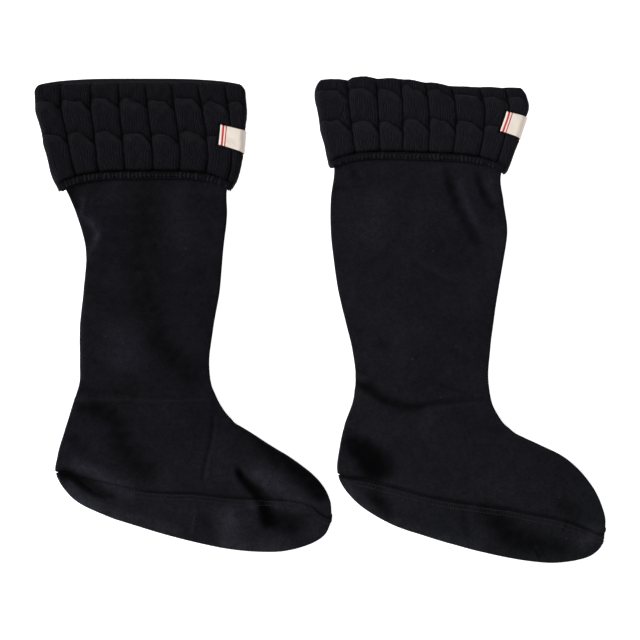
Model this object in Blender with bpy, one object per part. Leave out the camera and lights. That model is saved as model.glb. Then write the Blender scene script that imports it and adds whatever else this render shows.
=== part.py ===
"""A pair of long fleece boot socks with turned-down cable-knit cuffs, lying flat.

The script works in millimetres and writes the meshes in metres, +Z up. The socks lie on
z = 0 with their cuffs towards +Y and their toes towards +X. The origin is on the surface,
under the middle of the pair.

Each sock is four pieces of cloth:
  upper   fleece tube of the leg, which opens below the ankle into the top of the foot
  sole    fleece panel folded round the heel, the foot's lower edge and the toe
  cuff    knitted tube, turned down outside the top of the leg
  label   blank tape folded round the cuff's front edge
"""

import math
from collections import namedtuple

import bmesh
import bpy
from mathutils import Vector

MM = 0.001

# Cloth thicknesses and clearances.
FLEECE = 2.2
KNIT = 4.0
TAPE = 0.8
AIR = 0.6                # between a sock's two layers at its folded edges
CLEAR = 0.3              # between pieces that meet

# Heights that follow from them.
LEG_EDGE = FLEECE + AIR / 2            # radius of the fold along the leg's edges
LEG_HEIGHT = 2 * LEG_EDGE
CUFF_HOLLOW = LEG_HEIGHT + 2 * CLEAR   # room between the cuff's layers
CUFF_HEIGHT = CUFF_HOLLOW + 2 * KNIT
CUFF_EDGE = CUFF_HEIGHT / 2
LEG_LIFT = KNIT + CLEAR                # the leg lies this high inside the cuff
TAPE_LIFT = TAPE + CLEAR               # the cuff's front edge lies on the label

# The label.
LABEL_REACH = 25.0       # how far it lies on each face of the cuff
LABEL_HEIGHT = 20.5
LABEL_RAMP = 8.0         # the cuff's under side comes down to the surface over this width

# Points round a section.
FOLD_STEPS = 3           # of a quarter turn
FLEECE_ARM_STEPS = 5
KNIT_ARM_STEPS = 7
SEAM_STEP = 1.5          # spacing of the first points beside the seam

# Sections of the upper and the sole, from the mouth to the toe: where the section meets the
# back or sole edge and the front or instep edge, how high it lies, how far its top layer
# swells, and how far from the back edge the sole's seam crosses it. Millimetres.
Section = namedtuple("Section", "back_x back_y front_x front_y lift loft seam")
# Rows of the cuff, from the rim to the hem: where the row meets its back and front edges.
CuffRow = namedtuple("CuffRow", "back_x back_y front_x front_y")

LEFT_SECTIONS = (
    Section(-263.0, 220.0, -74.5, 220.0, LEG_LIFT, 0.0, 0.0),
    Section(-261.0, 195.5, -74.5, 195.5, LEG_LIFT, 0.0, 0.0),
    Section(-254.5, 169.0, -76.0, 169.0, LEG_LIFT, 0.0, 0.0),
    Section(-249.0, 145.5, -80.5, 145.5, LEG_LIFT, 0.0, 0.0),
    Section(-237.0, 122.0, -90.5, 122.0, LEG_LIFT, 0.0, 0.0),
    Section(-226.5, 98.5, -89.0, 98.5, 1.4, 0.8, 0.0),
    Section(-220.0, 66.0, -92.0, 66.0, 0.0, 1.4, 0.0),
    Section(-222.0, 28.0, -95.0, 28.0, 0.0, 1.6, 0.0),
    Section(-225.5, -9.5, -101.5, -9.5, 0.0, 1.6, 0.0),
    Section(-225.5, -42.0, -105.5, -42.0, 0.0, 1.8, 0.0),
    Section(-226.0, -60.0, -103.5, -60.0, 0.0, 2.0, 0.0),
    Section(-232.0, -79.0, -99.5, -69.5, 0.0, 2.2, 0.0),
    Section(-239.5, -103.5, -95.0, -78.0, 0.0, 2.2, 0.0),
    Section(-246.5, -128.0, -88.5, -87.0, 0.0, 2.2, 0.0),
    Section(-248.5, -142.0, -85.0, -91.0, 0.0, 2.2, 0.0),
    Section(-247.5, -145.5, -83.5, -92.5, 0.0, 2.2, 6.5),
    Section(-244.5, -152.0, -81.0, -95.5, 0.0, 2.2, 17.5),
    Section(-230.5, -168.5, -73.0, -100.5, 0.0, 2.2, 35.0),
    Section(-203.0, -182.5, -64.0, -106.0, 0.0, 2.2, 43.0),
    Section(-165.5, -195.5, -53.5, -113.0, 0.0, 2.2, 53.0),
    Section(-124.0, -207.0, -41.5, -120.5, 0.0, 2.2, 53.5),
    Section(-89.5, -213.5, -29.0, -128.0, 0.0, 2.0, 54.0),
    Section(-61.0, -216.0, -17.0, -136.5, 0.0, 1.8, 52.5),
    Section(-35.5, -215.5, -6.5, -145.0, 0.0, 1.6, 46.5),
    Section(-17.0, -211.5, 1.0, -153.0, 0.0, 1.4, 36.0),
    Section(-4.0, -206.0, 6.5, -161.5, 0.0, 1.0, 25.5),
    Section(4.5, -199.5, 10.0, -171.0, 0.0, 0.6, 15.5),
    Section(9.5, -191.5, 11.5, -180.0, 0.0, 0.2, 6.0),
)
RIGHT_SECTIONS = (
    Section(0.0, 222.0, 188.0, 216.0, LEG_LIFT, 0.0, 0.0),
    Section(1.5, 200.0, 189.5, 198.0, LEG_LIFT, 0.0, 0.0),
    Section(5.5, 179.0, 184.0, 177.5, LEG_LIFT, 0.0, 0.0),
    Section(10.5, 160.0, 177.5, 157.5, LEG_LIFT, 0.0, 0.0),
    Section(15.5, 141.0, 168.0, 137.0, LEG_LIFT, 0.0, 0.0),
    Section(10.5, 114.0, 171.5, 111.0, 1.4, 0.8, 0.0),
    Section(10.0, 84.5, 175.0, 84.5, 0.0, 1.4, 0.0),
    Section(13.0, 54.5, 171.0, 54.5, 0.0, 1.6, 0.0),
    Section(17.0, 28.0, 166.5, 28.0, 0.0, 1.6, 0.0),
    Section(23.5, 0.0, 162.5, 0.0, 0.0, 1.6, 0.0),
    Section(30.5, -28.0, 159.0, -28.0, 0.0, 1.8, 0.0),
    Section(33.5, -54.5, 157.5, -54.5, 0.0, 2.0, 0.0),
    Section(31.0, -76.0, 159.5, -69.5, 0.0, 2.2, 0.0),
    Section(23.0, -98.5, 162.5, -81.0, 0.0, 2.2, 0.0),
    Section(18.5, -118.5, 167.5, -90.0, 0.0, 2.2, 0.0),
    Section(16.5, -144.0, 174.5, -99.0, 0.0, 2.2, 0.0),
    Section(18.0, -149.5, 177.5, -101.5, 0.0, 2.2, 8.0),
    Section(21.5, -156.0, 181.5, -105.0, 0.0, 2.2, 21.0),
    Section(35.5, -172.0, 191.0, -110.0, 0.0, 2.2, 40.0),
    Section(66.0, -191.0, 201.0, -114.5, 0.0, 2.2, 49.5),
    Section(103.5, -204.0, 211.5, -119.5, 0.0, 2.2, 51.5),
    Section(139.0, -214.5, 223.0, -125.0, 0.0, 2.2, 52.0),
    Section(169.0, -221.0, 233.0, -131.5, 0.0, 2.0, 49.5),
    Section(195.5, -225.0, 243.0, -140.5, 0.0, 1.8, 47.0),
    Section(218.0, -226.5, 252.0, -151.0, 0.0, 1.6, 42.0),
    Section(238.5, -224.5, 259.5, -162.5, 0.0, 1.2, 32.5),
    Section(254.5, -219.5, 264.5, -174.0, 0.0, 0.8, 21.5),
    Section(264.5, -209.5, 268.0, -187.0, 0.0, 0.4, 9.0),
    Section(267.5, -202.0, 268.5, -193.5, 0.0, 0.1, 3.5),
)
LEFT_CUFF_ROWS = (
    CuffRow(-268.5, 220.0, -69.0, 220.0),
    CuffRow(-266.5, 195.5, -68.5, 195.5),
    CuffRow(-260.0, 169.0, -70.0, 169.0),
    CuffRow(-255.0, 146.0, -74.0, 145.0),
    CuffRow(-245.5, 123.0, -84.0, 123.5),
)
RIGHT_CUFF_ROWS = (
    CuffRow(-5.5, 222.0, 193.5, 216.0),
    CuffRow(-4.0, 200.0, 195.5, 198.0),
    CuffRow(0.0, 179.0, 190.0, 177.5),
    CuffRow(4.0, 160.0, 183.0, 157.5),
    CuffRow(9.5, 143.0, 174.0, 138.0),
)

# What else differs between the two socks: how far the rim of the lower layer shows above the
# top one, how far the hem arches up on the top and the lower layer, and, in rows of the cuff,
# where the label starts on the top face and how far it drops over the width of the tape.
Sock = namedtuple(
    "Sock", "side sections cuff_rows rim_rise hem_arch_top hem_arch_under label_row label_drop"
)
SOCKS = (
    Sock("left", LEFT_SECTIONS, LEFT_CUFF_ROWS, 6.5, 13.0, 4.0, 1.36, 0.28),
    Sock("right", RIGHT_SECTIONS, RIGHT_CUFF_ROWS, 1.5, 12.0, 4.0, 0.94, 0.36),
)

# sRGB colour and roughness.
Finish = namedtuple("Finish", "red green blue roughness")
FLEECE_FINISH = Finish(0.085, 0.082, 0.105, 0.95)
KNIT_FINISH = Finish(0.075, 0.072, 0.092, 0.9)
TAPE_FINISH = Finish(0.86, 0.80, 0.74, 0.8)


def smooth_step(value):
    """0 below 0, 1 above 1 and a smooth rise between."""
    value = min(max(value, 0.0), 1.0)
    return value * value * (3.0 - 2.0 * value)


def plateau(fraction):
    """1 over most of a width and 0 at both of its ends."""
    return 1.0 - (2.0 * fraction - 1.0) ** 4


def linear(channel):
    """An sRGB channel as linear light."""
    if channel <= 0.04045:
        return channel / 12.92
    return ((channel + 0.055) / 1.055) ** 2.4


class Chord:
    """The line across a sock from its back edge to its front edge."""

    def __init__(self, row):
        self.back = Vector((row.back_x, row.back_y, 0.0))
        across = Vector((row.front_x, row.front_y, 0.0)) - self.back
        self.length = across.length
        self.direction = across.normalized()

    def point(self, distance, height, shift_y=0.0):
        place = self.back + self.direction * distance
        return Vector((place.x, place.y + shift_y, height))


def spread(start, end, steps):
    """steps + 1 even distances from start to end."""
    return [start + (end - start) * k / steps for k in range(steps + 1)]


def fold_angles():
    """Angles of a quarter fold's points, from its middle up to the arm."""
    return spread(0.0, math.pi / 2, FOLD_STEPS)


def wrap(top):
    """Stations of the top half, then of the lower half back again. The last one is shared."""
    return [(kind, value, 1) for kind, value in top] + [
        (kind, value, -1) for kind, value in reversed(top[:-1])
    ]


def front_stations(arm):
    """Along the arm and round the front fold to its middle."""
    folds = [("front", angle) for angle in reversed(fold_angles()[:-1])]
    return [("arm", distance) for distance in arm] + folds


def ring(chord, stations, levels, back_inset, front_inset, shift=None):
    """Points of one wall round a section.

    levels gives the wall's under and top heights at a distance from the back edge, and shift
    how far a point lies off the section's line, towards +Y.
    """
    points = []
    for kind, value, side in stations:
        if kind == "arm":
            distance = value
            under, top = levels(distance)
            height = top if side > 0 else under
        else:
            inset = back_inset if kind == "back" else front_inset
            centre = inset if kind == "back" else chord.length - inset
            under, top = levels(centre)
            radius = (top - under) / 2
            outward = -1.0 if kind == "back" else 1.0
            distance = centre + outward * radius * math.cos(value)
            height = (top + under) / 2 + side * radius * math.sin(value)
        shift_y = shift(distance / chord.length, height) if shift else 0.0
        points.append(chord.point(distance, height, shift_y))
    return points


def mesh_object(name, outer, inner, closed_rows, finish):
    """One wall of cloth between matching outer and inner rows of points.

    The first closed_rows rows run all the way round: their last point is their first.
    """
    mesh = bmesh.new()

    def add_row(row, closed):
        verts = [mesh.verts.new(point * MM) for point in (row[:-1] if closed else row)]
        return verts + [verts[0]] if closed else verts

    outside = [add_row(row, i < closed_rows) for i, row in enumerate(outer)]
    inside = [add_row(row, i < closed_rows) for i, row in enumerate(inner)]
    last = len(outside[0]) - 1
    for i in range(len(outside) - 1):
        for j in range(last):
            mesh.faces.new((outside[i][j], outside[i][j + 1], outside[i + 1][j + 1], outside[i + 1][j]))
            mesh.faces.new((inside[i][j], inside[i + 1][j], inside[i + 1][j + 1], inside[i][j + 1]))
        if i >= closed_rows - 1:
            mesh.faces.new((outside[i][0], outside[i + 1][0], inside[i + 1][0], inside[i][0]))
            mesh.faces.new((outside[i][last], inside[i][last], inside[i + 1][last], outside[i + 1][last]))
    for j in range(last):
        mesh.faces.new((outside[0][j], inside[0][j], inside[0][j + 1], outside[0][j + 1]))
        mesh.faces.new((outside[-1][j], outside[-1][j + 1], inside[-1][j + 1], inside[-1][j]))
    bmesh.ops.recalc_face_normals(mesh, faces=mesh.faces)
    data = bpy.data.meshes.new(name)
    mesh.to_mesh(data)
    mesh.free()
    data.shade_smooth()
    data.set_sharp_from_angle(angle=math.radians(40))
    data.materials.append(material(name, finish))
    piece = bpy.data.objects.new(name, data)
    bpy.context.scene.collection.objects.link(piece)
    return piece


def material(name, finish):
    made = bpy.data.materials.new(name)
    made.use_nodes = True
    shader = made.node_tree.nodes["Principled BSDF"]
    colour = [linear(channel) for channel in (finish.red, finish.green, finish.blue)]
    shader.inputs["Base Color"].default_value = (*colour, 1.0)
    shader.inputs["Roughness"].default_value = finish.roughness
    shader.inputs["Metallic"].default_value = 0.0
    made.diffuse_color = (*colour, 1.0)
    return made


def fleece_levels(row, chord, depth):
    """Heights of the fleece's two layers, measured depth inside their outer faces."""

    def levels(distance):
        swell = row.loft * math.sin(math.pi * min(max(distance / chord.length, 0.0), 1.0))
        return row.lift + depth, row.lift + LEG_HEIGHT + swell - depth

    return levels


def mouth_shift(sock):
    """The lower layer's rim lies further up than the top layer's."""

    def shift(fraction, height):
        share = 1.0 - smooth_step((height - LEG_LIFT) / LEG_HEIGHT)
        return sock.rim_rise * plateau(fraction) * share

    return shift


def seam_clearance(sections, index):
    """Half the seam's gap, measured along the section, which the seam crosses at an angle."""
    chord = Chord(sections[index])
    ends = []
    for near in (max(index - 1, 0), min(index + 1, len(sections) - 1)):
        ends.append(Chord(sections[near]).point(sections[near].seam, 0.0))
    run = (ends[1] - ends[0]).normalized()
    crossing = abs(run.x * chord.direction.y - run.y * chord.direction.x)
    return CLEAR / 2 / max(crossing, 0.25)


def make_upper(sock):
    outer = []
    inner = []
    closed_rows = sum(1 for row in sock.sections if row.seam == 0.0)
    for index, row in enumerate(sock.sections):
        chord = Chord(row)
        end = chord.length - LEG_EDGE
        if row.seam:
            start = row.seam + seam_clearance(sock.sections, index)
            step = min(SEAM_STEP, (end - start) / (2 * FOLD_STEPS))
            beside_seam = [start + step * k for k in range(FOLD_STEPS)]
            arm = beside_seam + spread(start + step * FOLD_STEPS, end, FLEECE_ARM_STEPS)
            stations = front_stations(arm)
        else:
            folds = [("back", angle) for angle in fold_angles()[:-1]]
            stations = folds + front_stations(spread(LEG_EDGE, end, FLEECE_ARM_STEPS))
        shift = mouth_shift(sock) if index == 0 else None
        for rows, depth in ((outer, 0.0), (inner, FLEECE)):
            levels = fleece_levels(row, chord, depth)
            rows.append(ring(chord, wrap(stations), levels, LEG_EDGE, LEG_EDGE, shift))
    return mesh_object(f"{sock.side}_upper", outer, inner, closed_rows, FLEECE_FINISH)


def make_sole(sock):
    outer = []
    inner = []
    for index, row in enumerate(sock.sections):
        if not row.seam:
            continue
        chord = Chord(row)
        start = row.seam - seam_clearance(sock.sections, index)
        arm = spread(start, LEG_EDGE, FLEECE_ARM_STEPS - 1)
        folds = [("back", angle) for angle in reversed(fold_angles()[:-1])]
        stations = [("arm", distance) for distance in arm] + folds
        for rows, depth in ((outer, 0.0), (inner, FLEECE)):
            levels = fleece_levels(row, chord, depth)
            rows.append(ring(chord, wrap(stations), levels, LEG_EDGE, LEG_EDGE))
    return mesh_object(f"{sock.side}_sole", outer, inner, 0, FLEECE_FINISH)


def cuff_outer_levels(chord):
    """The cuff's outer faces. Its under side rises where the label is folded under it."""
    ramp_start = chord.length - LABEL_REACH - LABEL_RAMP

    def levels(distance):
        return TAPE_LIFT * smooth_step((distance - ramp_start) / LABEL_RAMP), CUFF_HEIGHT

    return levels


def cuff_inner_levels(distance):
    return KNIT, KNIT + CUFF_HOLLOW


def cuff_stations(chord):
    """Round the whole cuff, with a point where the label ends on each face."""
    front_inset = (CUFF_HEIGHT - TAPE_LIFT) / 2
    label_end = chord.length - LABEL_REACH
    arm = spread(CUFF_EDGE, label_end - LABEL_RAMP, KNIT_ARM_STEPS - 2)
    arm += spread(label_end, chord.length - front_inset, 2)
    folds = [("back", angle) for angle in fold_angles()[:-1]]
    return wrap(folds + front_stations(arm))


def cuff_shift(sock, index):
    """Off its line, a row arches up towards the hem and, on the lower layer, at the rim."""
    down = index / (len(sock.cuff_rows) - 1)
    rim_rise = sock.rim_rise if index == 0 else 0.0

    def shift(fraction, height):
        top_share = smooth_step(height / CUFF_HEIGHT)
        on_top = sock.hem_arch_top * down * down
        under = sock.hem_arch_under * down * down + rim_rise
        return plateau(fraction) * (on_top * top_share + under * (1.0 - top_share))

    return shift


def cuff_rows(sock):
    """Outer and inner rows of points of a cuff, from the rim to the hem."""
    outer = []
    inner = []
    front_inset = (CUFF_HEIGHT - TAPE_LIFT) / 2
    for index, row in enumerate(sock.cuff_rows):
        chord = Chord(row)
        shift = cuff_shift(sock, index)
        stations = cuff_stations(chord)
        outer.append(ring(chord, stations, cuff_outer_levels(chord), CUFF_EDGE, front_inset, shift))
        inner.append(ring(chord, stations, cuff_inner_levels, CUFF_EDGE, CUFF_EDGE, shift))
    return outer, inner


def make_cuff(sock):
    outer, inner = cuff_rows(sock)
    return mesh_object(f"{sock.side}_cuff", outer, inner, len(outer), KNIT_FINISH)


def make_label(sock):
    """The tape, made from the cuff's outer points beside its front edge, moved out."""
    outer, _ = cuff_rows(sock)
    middle = len(outer[0]) // 2
    reach = FOLD_STEPS + 2
    columns = range(middle - reach, middle + reach + 1)

    def on_cuff(column, row_place):
        row = min(int(row_place), len(outer) - 2)
        return outer[row][column].lerp(outer[row + 1][column], row_place - row)

    travel = [0.0]
    for column in columns[1:]:
        travel.append(travel[-1] + (outer[1][column] - outer[1][column - 1]).length)
    row_height = (outer[1][middle] - outer[2][middle]).length
    near = []
    far = []
    for place, column in enumerate(columns):
        top_row = sock.label_row + sock.label_drop * travel[place] / LABEL_REACH
        low_row = top_row + LABEL_HEIGHT / row_height
        bend = math.ceil(top_row)
        middle_row = bend if top_row < bend < low_row else (top_row + low_row) / 2
        near_line = []
        far_line = []
        for row_place in (top_row, middle_row, low_row):
            here = on_cuff(column, row_place)
            along = on_cuff(column, row_place + 0.1) - here
            before = (here - on_cuff(column - 1, row_place)).cross(along).normalized()
            after = (on_cuff(column + 1, row_place) - here).cross(along).normalized()
            outward = -(before + after).normalized()
            reach_out = 1.0 / max(outward.dot(-after), 0.5)
            near_line.append(here + outward * CLEAR * reach_out)
            far_line.append(here + outward * (CLEAR + TAPE) * reach_out)
        near.append(near_line)
        far.append(far_line)
    return mesh_object(f"{sock.side}_label", far, near, 0, TAPE_FINISH)


def main():
    for old in list(bpy.data.objects):
        bpy.data.objects.remove(old)
    for sock in SOCKS:
        make_upper(sock)
        make_sole(sock)
        make_cuff(sock)
        make_label(sock)


main()
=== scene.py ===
"""Looks of a pair of long fleece boot socks with turned-down cable-knit cuffs, lying flat.

Lengths in the tables and in the mesh code are millimetres. The meshes are written in metres,
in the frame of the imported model: the cuffs lie towards +Y, the toes towards +X, and z = 0 is
the surface that the socks lie on.
"""

import math
from collections import namedtuple

import bmesh
import bpy
import numpy as np
from bpy.props import FloatProperty, FloatVectorProperty, PointerProperty
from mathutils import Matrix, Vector


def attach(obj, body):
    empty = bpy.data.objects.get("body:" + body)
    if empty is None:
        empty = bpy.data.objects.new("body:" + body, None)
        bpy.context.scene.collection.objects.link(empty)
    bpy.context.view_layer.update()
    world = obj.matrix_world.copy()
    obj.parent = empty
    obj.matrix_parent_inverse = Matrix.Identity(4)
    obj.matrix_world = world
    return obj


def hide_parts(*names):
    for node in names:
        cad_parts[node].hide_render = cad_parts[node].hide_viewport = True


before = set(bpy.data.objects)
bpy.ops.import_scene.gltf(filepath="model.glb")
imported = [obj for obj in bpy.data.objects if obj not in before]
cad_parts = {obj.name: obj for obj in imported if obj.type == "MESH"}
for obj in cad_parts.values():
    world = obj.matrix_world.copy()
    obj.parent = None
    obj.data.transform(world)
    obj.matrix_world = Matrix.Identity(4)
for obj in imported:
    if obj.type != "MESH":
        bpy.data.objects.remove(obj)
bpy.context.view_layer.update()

bl_info = {
    "name": "Long boot socks",
    "version": (1, 0, 0),
    "blender": (4, 5, 0),
    "location": "3D View > Sidebar > Socks",
    "description": "Builds a pair of long fleece boot socks with cable-knit cuffs",
    "category": "Object",
}

MM = 0.001
BODY = "root"

# --- The cut of the socks, as the model has it ---

CORNER = 7.0  # radius of the cuff's upper corners, seen from above
FLEECE = 2.2
KNIT = 4.0
TAPE = 0.8
AIR = 0.6  # between a sock's two layers at its folded edges
CLEAR = 0.3  # between pieces that meet
LEG_EDGE = FLEECE + AIR / 2
LEG_HEIGHT = 2 * LEG_EDGE
CUFF_HOLLOW = LEG_HEIGHT + 2 * CLEAR
CUFF_HEIGHT = CUFF_HOLLOW + 2 * KNIT
CUFF_EDGE = CUFF_HEIGHT / 2
LEG_LIFT = KNIT + CLEAR
TAPE_LIFT = TAPE + CLEAR
LABEL_REACH = 25.0
LABEL_HEIGHT = 20.5
LABEL_RAMP = 8.0

# Sections of the upper and the sole, from the mouth to the toe: where the section meets the
# back or sole edge and the front or instep edge, how high it lies, how far its top layer
# swells, and how far from the back edge the sole's seam crosses it.
Section = namedtuple("Section", "back_x back_y front_x front_y lift loft seam", defaults=(0, 0))
# Rows of the cuff, from the rim to the hem: where the row meets its back and front edges.
CuffRow = namedtuple("CuffRow", "back_x back_y front_x front_y")


def rows_of(kind, *rows):
    """A table whose rows have that kind's columns."""
    return tuple(kind(*row) for row in rows)


LEFT_SECTIONS = rows_of(
    Section,
    (-263, 220, -74.5, 220, LEG_LIFT),
    (-261, 195.5, -74.5, 195.5, LEG_LIFT),
    (-254.5, 169, -76, 169, LEG_LIFT),
    (-249, 145.5, -80.5, 145.5, LEG_LIFT),
    (-238.2, 122, -87.2, 122, LEG_LIFT),
    (-228.3, 98.5, -87.2, 98.5, 1.4, 0.8),
    (-220, 66, -90.8, 66, 0, 1.4),
    (-222, 28, -94.2, 28, 0, 1.6),
    (-225.5, -9.5, -100.4, -9.5, 0, 1.6),
    (-225.5, -42, -104, -42, 0, 1.8),
    (-226, -60, -102.2, -60, 0, 2),
    (-232, -79, -98.5, -69.5, 0, 2.2),
    (-239.5, -103.5, -94.4, -78, 0, 2.2),
    (-246.5, -128, -88.5, -87, 0, 2.2),
    (-248.5, -142, -85, -91, 0, 2.2),
    (-247.5, -145.5, -83.5, -92.5, 0, 2.2, 6.5),
    (-244.5, -152, -81, -95.5, 0, 2.2, 17.5),
    (-230.5, -168.5, -73, -100.5, 0, 2.2, 37.8),
    (-203, -182.5, -64, -106, 0, 2.2, 45.8),
    (-165.5, -195.5, -53.5, -113, 0, 2.2, 55.8),
    (-124, -207, -41.5, -120.5, 0, 2.2, 56.3),
    (-89.5, -214.2, -29, -128, 0, 2, 56.8),
    (-61, -217.4, -17, -136.5, 0, 1.8, 55.3),
    (-35.5, -217.2, -6.5, -145, 0, 1.6, 49.3),
    (-17, -213.2, 1, -153, 0, 1.4, 38.8),
    (-3.5, -207.5, 6.5, -161.5, 0, 1, 25.5),
    (5.3, -200.5, 10, -171, 0, 0.6, 15.5),
    (10.2, -190.2, 10.9, -181.8, 0, 0.2, 4.2),
)
RIGHT_SECTIONS = rows_of(
    Section,
    (0, 222, 188, 216, LEG_LIFT),
    (1.5, 200, 189.5, 198, LEG_LIFT),
    (5.5, 179, 184, 177.5, LEG_LIFT),
    (10.5, 160, 177.5, 157.5, LEG_LIFT),
    (13.2, 141, 169.8, 137, LEG_LIFT),
    (10, 114, 172.4, 111, 1.4, 0.8),
    (10, 84.5, 175.8, 84.5, 0, 1.4),
    (13, 54.5, 171.9, 54.5, 0, 1.6),
    (17, 28, 167.4, 28, 0, 1.6),
    (23.5, 0, 163.3, 0, 0, 1.6),
    (30.3, -28, 159.8, -28, 0, 1.8),
    (33.2, -54.5, 157.9, -54.5, 0, 2),
    (31, -76, 159.5, -69.5, 0, 2.2),
    (23, -98.5, 162.5, -81, 0, 2.2),
    (18.5, -118.5, 167.5, -90, 0, 2.2),
    (16.5, -144, 174.5, -99, 0, 2.2),
    (18, -149.5, 177.5, -101.5, 0, 2.2, 8),
    (21.5, -156, 181.5, -105, 0, 2.2, 21),
    (35.5, -172, 191, -110, 0, 2.2, 40),
    (66, -191, 201, -114.5, 0, 2.2, 49.5),
    (103.5, -204, 211.5, -119.5, 0, 2.2, 51.5),
    (139, -214.5, 223, -125, 0, 2.2, 52),
    (169, -221.6, 233, -131.5, 0, 2, 49.5),
    (195.5, -226.2, 243, -140.5, 0, 1.8, 47),
    (218, -228, 252, -151, 0, 1.6, 42),
    (239, -226, 259.5, -162.5, 0, 1.2, 32.5),
    (255.4, -220.8, 264.5, -174, 0, 0.8, 21.5),
    (265.3, -210.2, 268, -187, 0, 0.4, 9),
    (267.4, -199.8, 267.9, -194.2, 0, 0.1, 2.5),
)
LEFT_CUFF_ROWS = rows_of(
    CuffRow,
    (-268.5, 220, -69, 220),
    (-266.5, 195.5, -68.5, 195.5),
    (-260, 169, -70, 169),
    (-255, 146, -73, 145),
    (-246, 120.6, -81.5, 121.8),
)
RIGHT_CUFF_ROWS = rows_of(
    CuffRow,
    (-5.5, 222, 193.5, 216),
    (-4, 200, 195.5, 198),
    (0, 179, 190, 177.5),
    (4, 160, 183, 157.5),
    (9, 142.3, 174.5, 137.2),
)

# A crease is a soft trough along a line, and with a negative depth a ridge. Its depth and
# width change from its first point to its last. skew makes it wider on the left of the way
# the line runs and narrower on the right, and the two lips are the ridges beside it.
Crease = namedtuple(
    "Crease", "depth end_depth width end_width points skew left_lip right_lip", defaults=(0, 0, 0)
)

LEFT_CREASES = rows_of(
    Crease,
    # The leg, from the cuff down.
    (1.6, 1.2, 5, 4, ((-236, 124), (-229, 112), (-222, 101))),
    (-1.3, -0.9, 3.2, 3, ((-219, 118), (-222, 98.5), (-213, 91), (-207, 79.5), (-213, 68),
        (-217.5, 56))),
    (1.3, 0.5, 13, 14, ((-158, 140), (-160, 70), (-158, -5))),
    (0.9, 0.9, 12, 12, ((-186, 72), (-172, 40), (-156, 8), (-140, -20))),
    (-0.9, -0.6, 12, 12, ((-128, 140), (-128, 80), (-130, 30))),
    (-1.3, -1.3, 16, 18, ((-192, 12), (-188, -25), (-176, -60))),
    # The ankle.
    (1.7, 1.3, 11, 9, ((-163, -8), (-134.5, -35.5), (-119, -49.5), (-105.5, -66.5))),
    (0.8, 0.6, 3.5, 2.5, ((-226, -65), (-195, -67.5), (-166, -70))),
    (-1, -0.7, 1.9, 1.4, ((-232, -75), (-190, -74.3), (-150, -76), (-100, -75))),
    (1.1, 0.9, 4.5, 3.5, ((-229, -82), (-208, -84.5), (-186, -88))),
    (1, 0.8, 1.8, 1.8, ((-99.5, -88), (-102.5, -114.5), (-107.5, -134), (-110.5, -152)), 0, 0.3),
    # The heel.
    (2.6, 2.2, 9.5, 11, ((-226.5, -82), (-200, -86.5), (-189, -100), (-187, -112), (-175, -129.5),
        (-160, -142), (-147.5, -153))),
    (1.5, 1.2, 7, 7, ((-236, -104), (-213, -128))),
    (4.4, 1.6, 3.6, 2.2, ((-245.5, -145.5), (-238, -144), (-230.5, -147), (-222, -154.5),
        (-212, -161.5), (-198, -168)), 0, 0.4, 0.5),
    # The foot.
    (3.4, 5, 2.4, 8.5, ((-79, -133), (-73, -147), (-63, -157.5), (-55, -165.5), (-49.5, -175),
        (-45, -188), (-42, -198)), 0.1, 0, 0.3),
    (2.6, 1.4, 6, 6, ((-47, -184), (-36, -191), (-16, -199))),
    (1.6, 1.2, 12, 9, ((-44, -180), (-24, -188), (-4, -192))),
    (-0.9, -0.8, 7, 7, ((-22, -206), (-2, -198), (6, -184))),
    (0.9, 5, 7, 11, ((-86, -92), (-66, -104), (-38, -121), (-16, -136), (0, -152), (12, -172))),
    (-1.6, -1.2, 9, 7, ((-84, -172), (-82, -208))),
    (-1, -0.9, 9, 8, ((-62, -140), (-36, -158), (-8, -182))),
    (-0.9, -0.9, 6, 7, ((-240, -150), (-216, -172), (-180, -187))),
    (0.5, 0.4, 1.5, 1.5, ((-103.5, -146.5), (-82.5, -144.5))),
    (-0.8, -0.8, 2.2, 2.2, ((-116, -176), (-119, -202))),
    (1, 0.9, 4, 5, ((-112, -180), (-98, -199))),
)
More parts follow.
